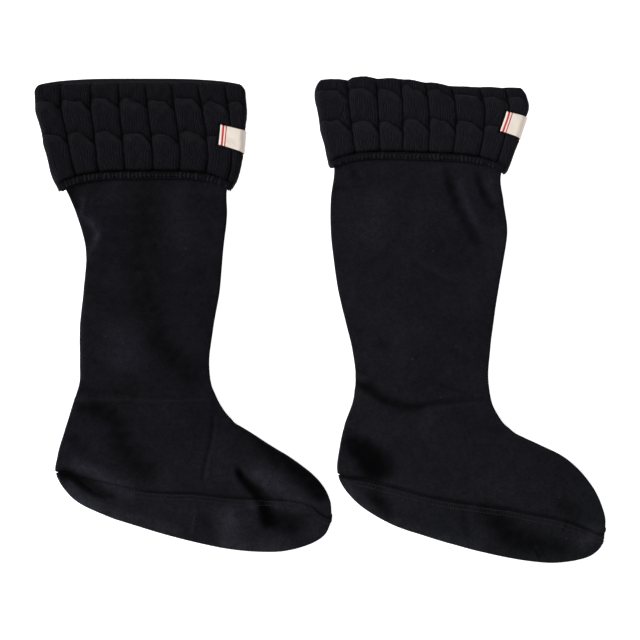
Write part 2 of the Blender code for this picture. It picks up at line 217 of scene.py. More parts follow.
RIGHT_CREASES = rows_of(
    Crease,
    # The leg, from the cuff down.
    (2.4, 1.2, 4.4, 5, ((121, 160), (122.5, 129), (130.5, 106), (140.5, 87), (152, 66)), 0, 0.4),
    (2.4, 1.6, 3.6, 3.4, ((145, 158), (150.5, 129), (158, 112), (166, 103)), 0, 0.4),
    (2, 1, 4, 3.5, ((24, 158), (31, 142), (40, 127)), 0, 0.3),
    (1.2, 0.6, 3, 2.6, ((11, 124), (35, 121))),
    (0.8, 0.4, 3, 3, ((77, 152), (73, 127))),
    (0.6, 0.4, 3, 3, ((82, 56), (106, 41.5), (133, 30.5)), 0, 0.3),
    (0.8, 0.6, 3, 3, ((121, -27), (144.5, -39.5)), 0, 0.2),
    (0.9, 0.7, 5, 5, ((50, -19), (70, -27.5))),
    # The ankle.
    (1.1, 0.8, 2.6, 2.2, ((31, -46.5), (48.5, -51.5))),
    (1.8, 1.2, 7, 6, ((54, -72), (70, -80), (84, -84), (102, -82))),
    (2.6, 0.6, 3.6, 2.2, ((29, -57), (46.5, -64.5), (57.5, -72.5), (72, -78), (86.5, -81), (108, -78),
        (126, -76), (158, -74)), 0, 0.2, 0.4),
    (0.8, 0.6, 2, 2, ((112, -61), (133, -67.5), (147, -73))),
    # The heel.
    (1.6, 1.2, 1.6, 1.4, ((19, -101), (32, -104))),
    (4, 5.6, 8, 12, ((20, -107), (36, -118), (48, -126), (58, -137), (65, -154)), -0.2, 0.3),
    (1.5, 1.2, 7, 7, ((40, -58), (64, -74))),
    (-0.9, -0.9, 6, 7, ((20, -152), (46, -180), (86, -199), (128, -210))),
    (1.3, 0.8, 2.2, 2.2, ((24, -148), (62, -148))),
    # The foot.
    (2.2, 1.8, 6, 8, ((46, -156), (56, -170), (70, -182))),
    (2.4, 2, 9.5, 8.5, ((146, -170), (168, -189), (182, -205), (201, -210), (218, -213),
        (240, -217))),
    (1.2, 1, 1.6, 1.5, ((200, -210), (207.5, -225)), 0, 0, 0.3),
    (0.9, 0.7, 4, 4, ((134.5, -168), (136.5, -189.5), (141, -209))),
    (1.6, 1.4, 8, 8, ((221, -166), (251, -187))),
    (-1, -0.9, 8, 7, ((236, -214), (253, -205), (262, -190))),
    (1, 0.8, 1.5, 1.5, ((233, -189), (227.5, -200)), 0, 0, 0.2),
)
# Creases of the side that the socks lie on.
LEFT_UNDER_CREASES = rows_of(
    Crease,
    (0.9, 0.6, 5, 5, ((-205, 108), (-190, 60), (-196, 10))),
    (0.9, 0.6, 6, 8, ((-118, 100), (-128, 40), (-122, -20))),
    (1, 0.6, 3, 3.5, ((-106, -58), (-140, -68), (-185, -66))),
    (1, 0.8, 5, 4, ((-98, -92), (-135, -112), (-176, -118))),
    (1.1, 0.7, 3, 2.5, ((-238, -128), (-212, -140), (-190, -138))),
    (0.9, 0.7, 4, 5, ((-44, -134), (-66, -160), (-62, -192))),
)
RIGHT_UNDER_CREASES = rows_of(
    Crease,
    (0.9, 0.6, 5, 6, ((52, 118), (64, 60), (60, 5))),
    (0.9, 0.6, 6, 5, ((150, 104), (136, 50), (140, -10))),
    (1, 0.6, 3, 3.5, ((154, -56), (120, -62), (78, -58))),
    (1, 0.7, 4, 4, ((160, -90), (118, -104), (66, -100))),
    (1, 0.8, 5, 4, ((30, -128), (66, -140), (100, -134))),
    (0.9, 0.7, 4, 5, ((214, -134), (200, -166), (206, -206))),
)

# Grooves between the eight cables of a cuff's top face, as shares of the way from the back
# fold to the front fold, at the rim and at the hem.
LEFT_GROOVES = (
    (0.0, 0.143, 0.281, 0.406, 0.528, 0.644, 0.764, 0.886, 1.0),
    (0.0, 0.138, 0.259, 0.397, 0.546, 0.687, 0.828, 0.946, 1.0),
)
RIGHT_GROOVES = (
    (0.0, 0.170, 0.302, 0.410, 0.523, 0.642, 0.770, 0.886, 1.0),
    (0.0, 0.172, 0.299, 0.417, 0.552, 0.682, 0.824, 0.920, 1.0),
)

# How far the rim stands up at shares of the way across.
LEFT_RIM = ((0.0, 0.0), (0.4, 0.5), (1.0, 0.0))
RIGHT_RIM = (
    (0.0, 0.5), (0.05, 2.6), (0.10, 3.7), (0.165, 2.9), (0.19, 5.8), (0.235, 6.9), (0.29, 5.4), (0.36, 6.0),
    (0.44, 5.4), (0.50, 3.6), (0.56, 3.1), (0.62, 1.2), (0.67, 0.0), (0.88, 0.5), (1.0, 0.6),
)

# Lines of painted highlight on the cloth's colour, by a negative depth, or of painted shade, by a
# positive one. They don't change the cloth's height.
LEFT_LIGHT_SHADE_LINES = rows_of(
    Crease,
    (-1.4, -0.9, 5, 7.5, ((-238, -132), (-214, -142), (-194, -153), (-168, -166))),
    (-1.2, -0.8, 4.6, 6, ((-243, -155), (-228, -168), (-200, -182))),
    (-0.9, -0.7, 7, 7, ((-200, -182), (-165, -190), (-125, -202))),
    (-0.8, -0.9, 14, 11, ((-90, -166), (-84, -184), (-76, -208))),
    (-1, -0.8, 9, 8, ((-100, -208), (-60, -214), (-20, -208))),
    (-0.8, -0.7, 11, 9, ((-74, -138), (-48, -148), (-26, -164), (0, -180))),
    (0.4, 1.2, 10, 12.5, ((-70, -106), (-42, -123), (-24, -136.5), (-6, -150), (8, -171))),
    (1, 2.2, 1.7, 6.2, ((-78, -137), (-71, -149), (-61, -159.5), (-54.5, -171), (-49.5, -186),
        (-44, -196))),
    (1.5, 0.6, 5.2, 3.2, ((-246, -146), (-238, -145.5), (-227, -148.5), (-216, -155), (-205, -162),
        (-188, -168)), 0.1),
    (-0.7, -0.5, 4, 4, ((-74, -172), (-44, -174), (-18, -180))),
    (-0.6, -0.6, 3, 3, ((-222, 60), (-224, 0), (-225, -60))),
    (-0.7, -0.7, 4, 4, ((-217, 100), (-209, 82), (-214, 62))),
)
RIGHT_LIGHT_SHADE_LINES = rows_of(
    Crease,
    (-0.8, -0.6, 6, 6, ((20, -148), (34, -166), (64, -188))),
    (1.4, 1.7, 8.5, 10.5, ((26, -111), (40, -122), (52, -132), (62, -148))),
    (0.9, 0.8, 6.5, 8.5, ((34, -128), (48, -141), (60, -146))),
    (0.5, 0.4, 4, 4.5, ((56, -152), (53.5, -166), (62, -180), (72, -186))),
    (0.4, 0.4, 12, 10, ((158, -176), (182, -198), (214, -212))),
    (-0.5, -0.5, 5, 5, ((64, -188), (110, -204), (160, -216))),
    (-0.6, -0.6, 8, 6, ((238, -214), (254, -202), (262, -186))),
    (-0.4, -0.4, 12, 12, ((56, 128), (56, 100), (50, 60))),
    (-0.5, -0.4, 3.5, 3.5, ((129, 135), (138, 108), (150, 85))),
    (-0.5, -0.4, 3, 3, ((157, 137), (166, 112))),
)

# What else differs between the two socks.
#   rim_rise: how far the rim of the lower layer shows above the top one
#   rim_line: how far the rim stands up, at shares of the way across
#   rim_roll: how far the crossings beside the rim sit lower, where it rolls back
#   hem_arch_top: how far the hem arches up on the top layer, and hem_arch_under on the lower
#   first_crossing: how far below the rim the cables first cross
#   scallop: how far each cable stands up over the rim's line
#   seam_pinch: how deep the cloth sinks beside the sole's seam
#   seam_round: how far its edges there are rounded off
#   stitch_rows: how far from the seam its two rows of stitches lie, on the sole's side
#   first_stitch: at which row of the foot they start to show, past the fold at the heel
#   label_row: how many rows down the cuff the label starts, and label_drop how many more
#     it drops over the width of the tape
#   label_shift: how much more of the label lies behind the front fold than before it
#   shade: how much darker than the plain cloth the leg and the cuff are
Sock = namedtuple(
    "Sock",
    "side sections cuff_rows creases under_creases rubs grooves rim_line rim_rise rim_roll hem_arch_top"
    " hem_arch_under first_crossing scallop seam_pinch seam_round stitch_rows first_stitch label_row"
    " label_drop label_shift shade seed",
)
SOCKS = (
    Sock(
        side="left", sections=LEFT_SECTIONS, cuff_rows=LEFT_CUFF_ROWS, creases=LEFT_CREASES,
        under_creases=LEFT_UNDER_CREASES, rubs=LEFT_LIGHT_SHADE_LINES, grooves=LEFT_GROOVES,
        rim_line=LEFT_RIM, rim_rise=6.5, rim_roll=0.0, hem_arch_top=13.0, hem_arch_under=4.0,
        first_crossing=14.0, scallop=0.8, seam_pinch=0.6, seam_round=0.7, stitch_rows=(2.0, 6.0),
        first_stitch=26, label_row=1.54, label_drop=0.17, label_shift=1.0, shade=0.24, seed=11,
    ),
    Sock(
        side="right", sections=RIGHT_SECTIONS, cuff_rows=RIGHT_CUFF_ROWS, creases=RIGHT_CREASES,
        under_creases=RIGHT_UNDER_CREASES, rubs=RIGHT_LIGHT_SHADE_LINES, grooves=RIGHT_GROOVES,
        rim_line=RIGHT_RIM, rim_rise=1.5, rim_roll=7.0, hem_arch_top=12.0, hem_arch_under=4.0,
        first_crossing=33.0, scallop=1.0, seam_pinch=0.9, seam_round=0.9, stitch_rows=(2.8, 6.8),
        first_stitch=6, label_row=1.19, label_drop=0.25, label_shift=4.4, shade=0.06, seed=23,
    ),
)


def linear(*channels):
    """sRGB channels from 0 to 1 as linear light, which Blender's colours hold."""
    return tuple(c / 12.92 if c <= 0.04045 else ((c + 0.055) / 1.055) ** 2.4 for c in channels)


# --- Settings that a user would change ---

def length_setting(name, description, millimetres):
    """A length that the panel shows in the scene's units."""
    return FloatProperty(
        name=name, description=description, default=millimetres * MM, min=0.0, unit="LENGTH", precision=5
    )


def colour_setting(name, description, colour):
    """A colour without alpha."""
    return FloatVectorProperty(
        name=name, description=description, default=colour, min=0.0, max=1.0, size=3, subtype="COLOR"
    )


class FleeceSettings(bpy.types.PropertyGroup):
    """The fleece of the uppers and the soles"""

    colour: colour_setting("Colour", "Outer face of the fleece", linear(0.090, 0.085, 0.107))
    cool: colour_setting("Cool shade", "The outer face drifts to it in places", linear(0.085, 0.088, 0.103))
    inside: colour_setting("Inside", "Brushed inner face, seen at the rim", linear(0.108, 0.108, 0.112))
    swell: length_setting("Swell", "How much further the foot's top layer stands out", 2.2)
    unevenness: length_setting("Unevenness", "Height of the soft waves all over the cloth", 0.28)
    spacing: length_setting("Spacing", "Of the top layer's points", 1.4)


class KnitSettings(bpy.types.PropertyGroup):
    """The cuffs' cable knit and its bound-off edge"""

    colour: colour_setting("Colour", "Yarn of the cuffs", linear(0.086, 0.081, 0.103))
    cable_height: length_setting("Cable height", "From the grooves to the cables' crowns", 3.0)
    crossing_pitch: length_setting("Crossing pitch", "Between two crossings of a cable", 31.5)
    crossing_length: length_setting("Crossing length", "Drop of the front strand's edge over a cable", 13.0)
    wale_pitch: length_setting("Wale pitch", "Width of one stitch", 2.7)
    wale_height: length_setting("Wale height", "Of the ridges along a strand", 0.36)
    course_pitch: length_setting("Course pitch", "Height of one stitch", 2.4)
    pinch: length_setting("Hem pinch", "Depth of the drawn-in line above the hem", 2.6)
    band: length_setting("Hem band", "Width of the bound-off edge below that line", 5.5)
    loop_pitch: length_setting("Loop pitch", "Between the bound-off loops", 3.7)


class StitchSettings(bpy.types.PropertyGroup):
    """The stitches along the soles' seams"""

    colour: colour_setting("Colour", "Thread of the sole's seam", linear(0.158, 0.153, 0.176))
    pitch: length_setting("Pitch", "Between two stitches", 2.5)
    thickness: length_setting("Thickness", "Of the thread", 0.75)


class LabelSettings(bpy.types.PropertyGroup):
    """The blank tapes"""

    colour: colour_setting("Colour", "Ground of the blank tape", linear(0.985, 0.935, 0.885))
    bars: colour_setting("Bars", "Plain bars beside the tape's ends", linear(0.80, 0.13, 0.19))
    tack_pitch: length_setting("Tack pitch", "Between the stitches that hold its end", 2.2)


class StageSettings(bpy.types.PropertyGroup):
    """The floor, the lights and the camera"""

    frame_width: length_setting("Frame width", "Width of the surface that the camera sees", 601.6)
    camera_height: length_setting("Camera height", "Over the surface", 2500.0)
    key_strength: FloatProperty(name="Key", description="Of the soft light from the left", default=3.8)
    sky: FloatProperty(name="Sky", description="Strength of the even light all round", default=0.21)
    floor_glow: FloatProperty(name="Floor glow", description="Light of the white sweep itself", default=0.8)


# --- Numbers and curves ---

def smooth_step(value):
    """0 below 0, 1 above 1 and a smooth rise between."""
    value = np.clip(value, 0.0, 1.0)
    return value * value * (3.0 - 2.0 * value)


def plateau(fraction):
    """1 over most of a width and 0 at both of its ends."""
    return 1.0 - (2.0 * np.clip(fraction, 0.0, 1.0) - 1.0) ** 4


def bell(distance, width):
    """1 at no distance, falling away evenly on both sides."""
    return np.exp(-((distance / width) ** 2))


def smooth_max(one, other, blend):
    """The larger of two fields, rounded over where they meet."""
    share = np.clip(0.5 + 0.5 * (one - other) / blend, 0.0, 1.0)
    return other + (one - other) * share + blend * share * (1.0 - share)


def knots(table):
    """How far down the sock each row of a table lies, between its two edges."""
    ends = np.array([row[:4] for row in table])
    steps = np.diff(ends, axis=0)
    travel = (np.hypot(steps[:, 0], steps[:, 1]) + np.hypot(steps[:, 2], steps[:, 3])) / 2
    return np.concatenate(([0.0], np.cumsum(travel)))


def columns_at(table, places):
    """The table's columns on a smooth curve through its rows. Only the outline may overshoot."""
    values = np.array(table, float)
    at = knots(table)
    gaps = np.diff(at)[:, None]
    secants = np.diff(values, axis=0) / gaps
    slopes = np.empty_like(values)
    slopes[0] = secants[0]
    slopes[-1] = secants[-1]
    slopes[1:-1] = (secants[:-1] * gaps[1:] + secants[1:] * gaps[:-1]) / (gaps[1:] + gaps[:-1])
    level = secants[:-1, 4:] * secants[1:, 4:] <= 0.0
    slopes[1:-1, 4:] = np.where(level, 0.0, slopes[1:-1, 4:])
    row = np.clip(np.searchsorted(at, places, side="right") - 1, 0, len(at) - 2)
    gap = gaps[row]
    share = ((places - at[row]) / gap[:, 0])[:, None]
    square = share * share
    cube = square * share
    return (
        values[row] * (2 * cube - 3 * square + 1)
        + slopes[row] * gap * (cube - 2 * square + share)
        + values[row + 1] * (3 * square - 2 * cube)
        + slopes[row + 1] * gap * (cube - square)
    )


def smooth_line(points):
    """Points about a millimetre apart on a smooth curve through a few given ones."""
    rows = [(*point, *point) for point in points]
    at = knots(rows)
    count = max(int(at[-1]), 4)
    return columns_at(rows, np.linspace(0.0, at[-1], count + 1))[:, :2]


LIP_OFFSET = 2.1  # of a crease's lips from its middle, in widths


def crease_relief(creases, x, y):
    """Height that the creases add at points seen from above."""
    total = np.zeros_like(x)
    for crease in creases:
        line = smooth_line(crease.points)
        reach = 4.0 * max(crease.width, crease.end_width)
        low = line.min(axis=0) - reach
        high = line.max(axis=0) + reach
        near = (x > low[0]) & (x < high[0]) & (y > low[1]) & (y < high[1])
        if not near.any():
            continue
        offset_x = x[near][:, None] - line[:, 0]
        offset_y = y[near][:, None] - line[:, 1]
        nearest = np.argmin(offset_x ** 2 + offset_y ** 2, axis=1)
        pick = np.arange(len(nearest))
        offset_x = offset_x[pick, nearest]
        offset_y = offset_y[pick, nearest]
        tangent = np.gradient(line, axis=0)
        tangent /= np.linalg.norm(tangent, axis=1)[:, None]
        steps = np.linalg.norm(np.diff(line, axis=0), axis=1)
        travel = np.concatenate(([0.0], np.cumsum(steps)))
        tangent_x, tangent_y = tangent[nearest].T
        forward = travel[nearest] + offset_x * tangent_x + offset_y * tangent_y
        across = tangent_x * offset_y - tangent_y * offset_x
        share = np.clip(forward / travel[-1], 0.0, 1.0)
        width = crease.width + (crease.end_width - crease.width) * share
        width = width * np.where(across > 0.0, 1.0 + crease.skew, 1.0 - crease.skew)
        depth = crease.depth + (crease.end_depth - crease.depth) * share
        run_in = min(0.35 * travel[-1], 1.6 * max(crease.width, crease.end_width))
        fade = smooth_step(forward / run_in) * smooth_step((travel[-1] - forward) / run_in)
        lip = LIP_OFFSET * width
        height = -depth * bell(across, width)
        height += crease.left_lip * bell(across - lip, width)
        height += crease.right_lip * bell(across + lip, width)
        total[near] += fade * height
    return total


WAVE_COUNT = 16
WAVE_PEAK = 1.6  # how many times its usual size their sum seldom passes


def soft_waves(x, y, wavelength, seed):
    """A smooth uneven field of about -1 to 1, the same for the same seed."""
    chance = np.random.default_rng(seed)
    total = np.zeros_like(x)
    for _ in range(WAVE_COUNT):
        turn = chance.uniform(0.0, math.tau)
        length = wavelength * chance.uniform(0.7, 1.6)
        phase = chance.uniform(0.0, math.tau)
        total += np.sin((x * math.cos(turn) + y * math.sin(turn)) * math.tau / length + phase)
    return total / math.sqrt(WAVE_COUNT / 2.0) / WAVE_PEAK


def lowest_near(field, rows, columns):
    """The lowest value within some rows and columns of each place."""
    low = field.copy()
    for axis, reach in ((0, rows), (1, columns)):
        padded = np.pad(low, [(reach, reach) if axis == a else (0, 0) for a in (0, 1)], mode="edge")
        windows = [
            padded[k: k + field.shape[0], :] if axis == 0 else padded[:, k: k + field.shape[1]]
            for k in range(2 * reach + 1)
        ]
        low = np.minimum.reduce(windows)
    return low


def section_lengths(columns):
    """From the back edge to the front edge, one row for each section."""
    return np.linalg.norm(columns[:, 2:4] - columns[:, 0:2], axis=1)[:, None]


def rounded_edge(distance, radius, drop):
    """How far a face is drawn in near an edge, so that the edge is round."""
    share = np.clip(1.0 - distance / radius, 0.0, 1.0)
    return drop * (1.0 - np.sqrt(1.0 - share * share))


# --- Flat tubes of cloth ---

RIM_HIGHLIGHT = 6.0  # strength of the painted highlight right at the outline
ON_FOLD = 0.7  # a surface on a folded edge faces up or down less than this
SIDE_BLEND = 0.35  # and one that faces up or down less than this is on both sides


class Tube:
    """Sections across a flat tube of cloth, one for each place down the sock.

    insets tells how far from the two edges the folds begin, levels the heights of the tube's
    lower and upper face at distances from the back edge, and shift how far a point lies off its
    section, towards +Y. squeeze makes a section flatter, and ahead moves it on towards the toe.
    """

    def __init__(self, columns, insets, levels, shift, squeeze=1.0, ahead=0.0):
        self.length = section_lengths(columns)
        self.direction = (columns[:, 2:4] - columns[:, 0:2]) / self.length
        self.insets = insets
        self.levels = levels
        self.shift = shift
        self.squeeze = squeeze
        onward = np.stack((self.direction[:, 1], -self.direction[:, 0]), axis=1)
        self.back = columns[:, 0:2] + onward * ahead

    def faces(self, distance):
        """The middle height and half the height of the tube, at distances from the back edge."""
        under, top = self.levels(distance)
        return (under + top) / 2.0, (top - under) / 2.0 * self.squeeze

    def total(self):
        """Arc of one half of each section, and the arcs of its two quarter folds."""
        back_inset, front_inset = self.insets
        _, back_radius = self.faces(np.full_like(self.length, back_inset))
        _, front_radius = self.faces(self.length - front_inset)
        back_arc = back_radius * math.pi / 2.0
        front_arc = front_radius * math.pi / 2.0
        return back_arc + self.length - back_inset - front_inset + front_arc, back_arc, front_arc

    def share_of(self, distance):
        """Share of the half section's arc at a distance from the back edge."""
        total, back_arc, _ = self.total()
        inset = self.insets[0]
        angle = np.arccos(np.clip(1.0 - distance / inset, -1.0, 1.0))
        arc = np.where(distance < inset, back_arc * angle / (math.pi / 2.0), back_arc + distance - inset)
        return arc / total

    def place(self, share, side):
        """Points and outward directions on one half of the sections: side is 1 on top, -1 below.

        share runs from 0 at the middle of the back fold to 1 at the middle of the front fold.
        """
        total, back_arc, front_arc = self.total()
        back_inset, front_inset = self.insets
        arc = share * total
        in_back = arc < back_arc
        in_front = arc > total - front_arc
        outward = np.where(in_back, -1.0, np.where(in_front, 1.0, 0.0))
        turn = np.where(in_back, arc / back_arc, np.where(in_front, (total - arc) / front_arc, 1.0))
        angle = turn * math.pi / 2.0
        along = back_inset + arc - back_arc
        centre = np.where(in_back, back_inset, np.where(in_front, self.length - front_inset, along))
        middle, radius = self.faces(centre)
        distance = centre + outward * radius * np.cos(angle)
        height = middle + side * radius * np.sin(angle)
        x = self.back[:, 0:1] + self.direction[:, 0:1] * distance
        y = self.back[:, 1:2] + self.direction[:, 1:2] * distance
        y = y + self.shift(distance / self.length, height)
        level = outward * np.cos(angle)
        points = np.stack((x, y, height), axis=-1)
        normals = np.stack(
            (self.direction[:, 0:1] * level, self.direction[:, 1:2] * level, side * np.sin(angle)), axis=-1
        )
        return points, normals


def facing(normals):
    """How far points belong to the top and to the under side, the same at a fold from both."""
    up = normals[..., 2]
    top = np.clip((SIDE_BLEND + up) / (1.0 + SIDE_BLEND), 0.0, 1.0)
    under = np.clip((SIDE_BLEND - up) / (1.0 + SIDE_BLEND), 0.0, 1.0)
    return top, under


def painted_rim_highlight(normals):
    """A painted highlight at the outline, stronger where the surface turns steeper, in place of the sheen
    of fibres seen edge-on.
    """
    return RIM_HIGHLIGHT * np.clip(ON_FOLD - np.abs(normals[..., 2]), 0.0, 1.0)


def stations(count, edge, share_of_edge):
    """Shares from 0 to 1, closer together near both ends."""
    end = np.linspace(0.0, share_of_edge, edge, endpoint=False)
    middle = np.linspace(share_of_edge, 1.0 - share_of_edge, count)
    return np.concatenate((end, middle, (1.0 - end)[::-1]))


def zip_strip(one, other, one_at, other_at):
    """Triangles between two lines of vertices that run the same way."""
    faces = []
    i = 0
    j = 0
    while i < len(one) - 1 or j < len(other) - 1:
        step_one = j == len(other) - 1 or (i < len(one) - 1 and one_at[i + 1] <= other_at[j + 1])
        face = (one[i], one[i + 1], other[j]) if step_one else (one[i], other[j + 1], other[j])
        i += step_one
        j += not step_one
        if len(set(face)) == 3:
            faces.append(face)
    return faces


def grid_faces(index):
    """Faces between the rows and columns of a grid of vertices, each vertex named once."""
    corners = (index[:-1, :-1], index[:-1, 1:], index[1:, 1:], index[1:, :-1])
    faces = np.stack(corners, axis=-1).reshape(-1, 4)
    return [tuple(dict.fromkeys(face)) for face in faces.tolist()]


def make_mesh(name, points, faces, chart, inside_from=None, attributes=()):
    """A closed mesh with its faces out. chart holds each vertex's place on the cloth.

    Faces that start at the vertex inside_from or a later one take the second material.
    """
    mesh = bpy.data.meshes.new(name)
    mesh.from_pydata((points * MM).tolist(), [], faces)
    corners = np.empty(len(mesh.loops), dtype=np.int32)
    mesh.loops.foreach_get("vertex_index", corners)
    mesh.uv_layers.new(name="cloth").data.foreach_set("uv", chart[corners].astype(np.float32).ravel())
    for title, values in dict(attributes).items():
        mesh.attributes.new(title, "FLOAT", "POINT").data.foreach_set("value", values.astype(np.float32))
    if inside_from is not None:
        starts = np.empty(len(mesh.polygons), dtype=np.int32)
        mesh.polygons.foreach_get("loop_start", starts)
        inner = (corners[starts] >= inside_from).astype(np.int32)
        mesh.polygons.foreach_set("material_index", inner)
    work = bmesh.new()
    work.from_mesh(mesh)
    bmesh.ops.recalc_face_normals(work, faces=work.faces)
    work.to_mesh(mesh)
    work.free()
    mesh.shade_smooth()
    mesh.update()
    return mesh


def new_object(name, data):
    """An object in the scene, at the origin."""
    made = bpy.data.objects.new(name, data)
    bpy.context.scene.collection.objects.link(made)
    return made


def make_piece(name, mesh, materials):
    """An object that rides on the body and takes its finish from a slot."""
    piece = new_object(name, mesh)
    for finish in materials:
        piece.data.materials.append(finish)
    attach(piece, BODY)
    return piece


class Shell:
    """Gathers the points and faces of a wall of cloth between an outer and an inner grid.

    The grids run in rows down the sock and, in each row, over the top face to the fold at
    column half and back under it. The first closed_rows rows run all the way round.
    """

    def __init__(self, outer, inner, chart, half, closed_rows, row_picks, column_picks):
        self.points = []
        self.faces = []
        self.chart = []
        self.half = half
        self.row_picks = row_picks
        self.column_picks = column_picks
        self.outer = self.add_grid(outer, chart, closed_rows)
        self.inside_from = len(self.points)
        picked = np.ix_(row_picks, column_picks)
        self.closed_inner = sum(row < closed_rows for row in row_picks)
        self.inner = self.add_grid(inner[picked], chart[picked], self.closed_inner)
        self.open_from = closed_rows - 1 if closed_rows else 0
        self.sides()

    def add_grid(self, grid, chart, closed_rows):
        """Takes in a grid's points and faces, and returns the numbers of its vertices."""
        rows, columns = grid.shape[:2]
        index = np.arange(rows * columns).reshape(rows, columns) + len(self.points)
        self.points.extend(grid.reshape(-1, 3).tolist())
        self.chart.extend(chart.reshape(-1, 2).tolist())
        index[:closed_rows, -1] = index[:closed_rows, 0]
        self.faces.extend(face for face in grid_faces(index) if len(face) > 2)
        return index

    def sides(self):
        """Joins the grids along the first row and along the open edges."""
        rows = self.outer.shape[0]
        columns = np.arange(self.outer.shape[1])
        self.faces += zip_strip(self.outer[0], self.inner[0], columns, self.column_picks)
        if self.open_from == rows - 1:
            return
        outer_rows = np.arange(self.open_from, rows)
        inner_start = max(self.closed_inner - 1, 0)
        inner_rows = self.row_picks[inner_start:]
        for column in (0, -1):
            outer_edge = self.outer[outer_rows, column]
            inner_edge = self.inner[inner_start:, column]
            self.faces += zip_strip(outer_edge, inner_edge, outer_rows, inner_rows)

    def close_end_round(self):
        """Joins the last row to the first, as round the rim of a cuff."""
        columns = np.arange(self.outer.shape[1])
        self.faces += zip_strip(self.outer[-1], self.inner[-1], columns, self.column_picks)

    def close_toe(self):
        """Shuts the last row of each grid, top edge to under edge."""
        inner_half = self.column_picks.index(self.half)
        for index, half in ((self.outer, self.half), (self.inner, inner_half)):
            top = index[-1, : half + 1]
            under = index[-1, half:][::-1]
            self.faces += zip_strip(
                top, under, np.linspace(0.0, 1.0, len(top)), np.linspace(0.0, 1.0, len(under))
            )
        ends = (self.outer[-1, 0], self.outer[-1, -1], self.inner[-1, -1], self.inner[-1, 0])
        self.faces.append(ends)

    def mesh(self, name, attributes=()):
        """The shell as a mesh. attributes holds values for each point of the outer face."""
        used = sorted({vertex for face in self.faces for vertex in face})
        renumber = {int(old): new for new, old in enumerate(used)}
        points = np.array(self.points)[used]
        chart = np.array(self.chart)[used]
        faces = [tuple(renumber[int(vertex)] for vertex in face) for face in self.faces]
        inside_from = sum(old < self.inside_from for old in used)
        padded = {}
        for title, values in dict(attributes).items():
            whole = np.zeros(len(self.points))
            whole[: values.size] = values.ravel()
            padded[title] = whole[used]
        return make_mesh(name, points, faces, chart, inside_from, padded)


def picks(count, fixed, step):
    """Rows or columns that the hidden inner face keeps: the fixed ones and every step-th."""
    chosen = set(fixed) | set(range(0, count, step)) | {count - 1}
    return sorted(place for place in chosen if 0 <= place < count)


# --- Fleece: the uppers and the soles ---

CAP_STEPS = 6  # rows round the toe's end
CAP_REACH = 0.9  # how far the toe's end bulges past the last section
CAP_INSET = 0.8  # how much less its inner face does
FLEECE_ROLL = 0.9 * FLEECE / 2  # how far each face turns in at the mouth
RIM_ROUND = 1.2  # over this width
EDGE_ROUND = 1.3  # radius of the fleece's cut edges at the seam
SEAM_WIDTH = 2.6  # of the sunken strip beside the seam
LEAST_WALL = 0.9  # a crease leaves this much cloth over the tube's middle height,
LEAST_ROOM = 0.25  # but it may always sink this far,
FREE_AT_MOUTH = 4.0  # and further within this of the mouth, where the edge is rounded
UNDER_SEAM_OFFSET = 2.4  # the seam below the foot lies this far above the one on top of it
UNDER_SEAM_RUN = 10.0  # where the seam is this far from the back edge, and less before
FULL_LOFT = 2.2  # the foot's loft in the tables, which the swell is added to
SWELL_FROM = 1.2  # a section with less loft doesn't swell more
SWELL_POWER = 0.85  # below 1, so the top layer is flatter over its middle than a sine
UNDER_COARSER = 2.2  # how much further apart points lie on the under side
FOLD_REACH = 5.0  # points lie closer together this near to a fold or a seam
INNER_ROW_STEP = 6
INNER_COLUMN_STEP = 4
NO_SEAM = 99.0  # distance that stands for a seam which isn't near
LEAST_CROSSING = 0.25  # sine of the flattest slant at which the seam is taken to cross a section
INNER_CLEAR = 0.5  # the inner face stays this far inside the outer one,
HALF_AIR = 0.12  # and this far from the tube's middle height
RISE_RUN = 24.5  # the rise of the lower layer's rim fades out over this much of the leg

# Wavelengths of the soft waves of the top layer, of its finer ones and of the under layer, and
# of the uneven strength of its painted shade and highlights.
WAVES = 55.0
FINE_WAVES = 19.0
FINE_SHARE = 0.45  # height of the finer ones over that of the others
UNDER_WAVES = 48.0
TONE_WAVES = 11.0
HIDDEN_BY_CUFF = 70.0  # the leg is plain this far down from the mouth, and uneven CUFF_FADE on
CUFF_FADE = 30.0

# Painted shade and highlights on the fleece's colour: 0 is the plain cloth, 1 the darkest painted shade,
# and below 0 painted highlights.
HOLLOW_DEPTH = 2.9  # crease depth at which the painted shade is darkest
PALEST_RISE = -0.6  # painted highlight on a ridge alone goes no paler than this
SEAM_SHADE = 0.45  # painted shade in the gap between the upper and the sole
SEAM_SHADE_WIDTH = 1.4
TONE_UNEVEN = 0.22  # how unevenly strong all of this is
PALEST = -2.2  # palest painted highlight, at all but the outline
SHADE_FROM_Y = -150.0  # a sock's shade comes in from here up the leg, over SHADE_RUN
SHADE_RUN = 90.0
DARK_GAIN = 1.08  # painted shade where dark places meet grows darker ever more slowly, towards this
DARK_RATE = 1.25


def first_open_row(sock):
    """The last section that the seam doesn't cross."""
    return max(k for k, row in enumerate(sock.sections) if row.seam == 0.0)


def fleece_places(sock, spacing):
    """Places down the sock: close together at the mouth, then even, with one at the seam's start."""
    at = knots(sock.sections)
    start = at[first_open_row(sock)]
    mouth = np.array([0.0, 0.25, 0.6, 1.1, 1.8])
    upper = np.linspace(2.8, start, int((start - 2.8) / spacing) + 1)
    lower = np.linspace(start, at[-1], int((at[-1] - start) / spacing) + 1)[1:]
    return np.concatenate((mouth, upper, lower)), len(mouth) + len(upper)


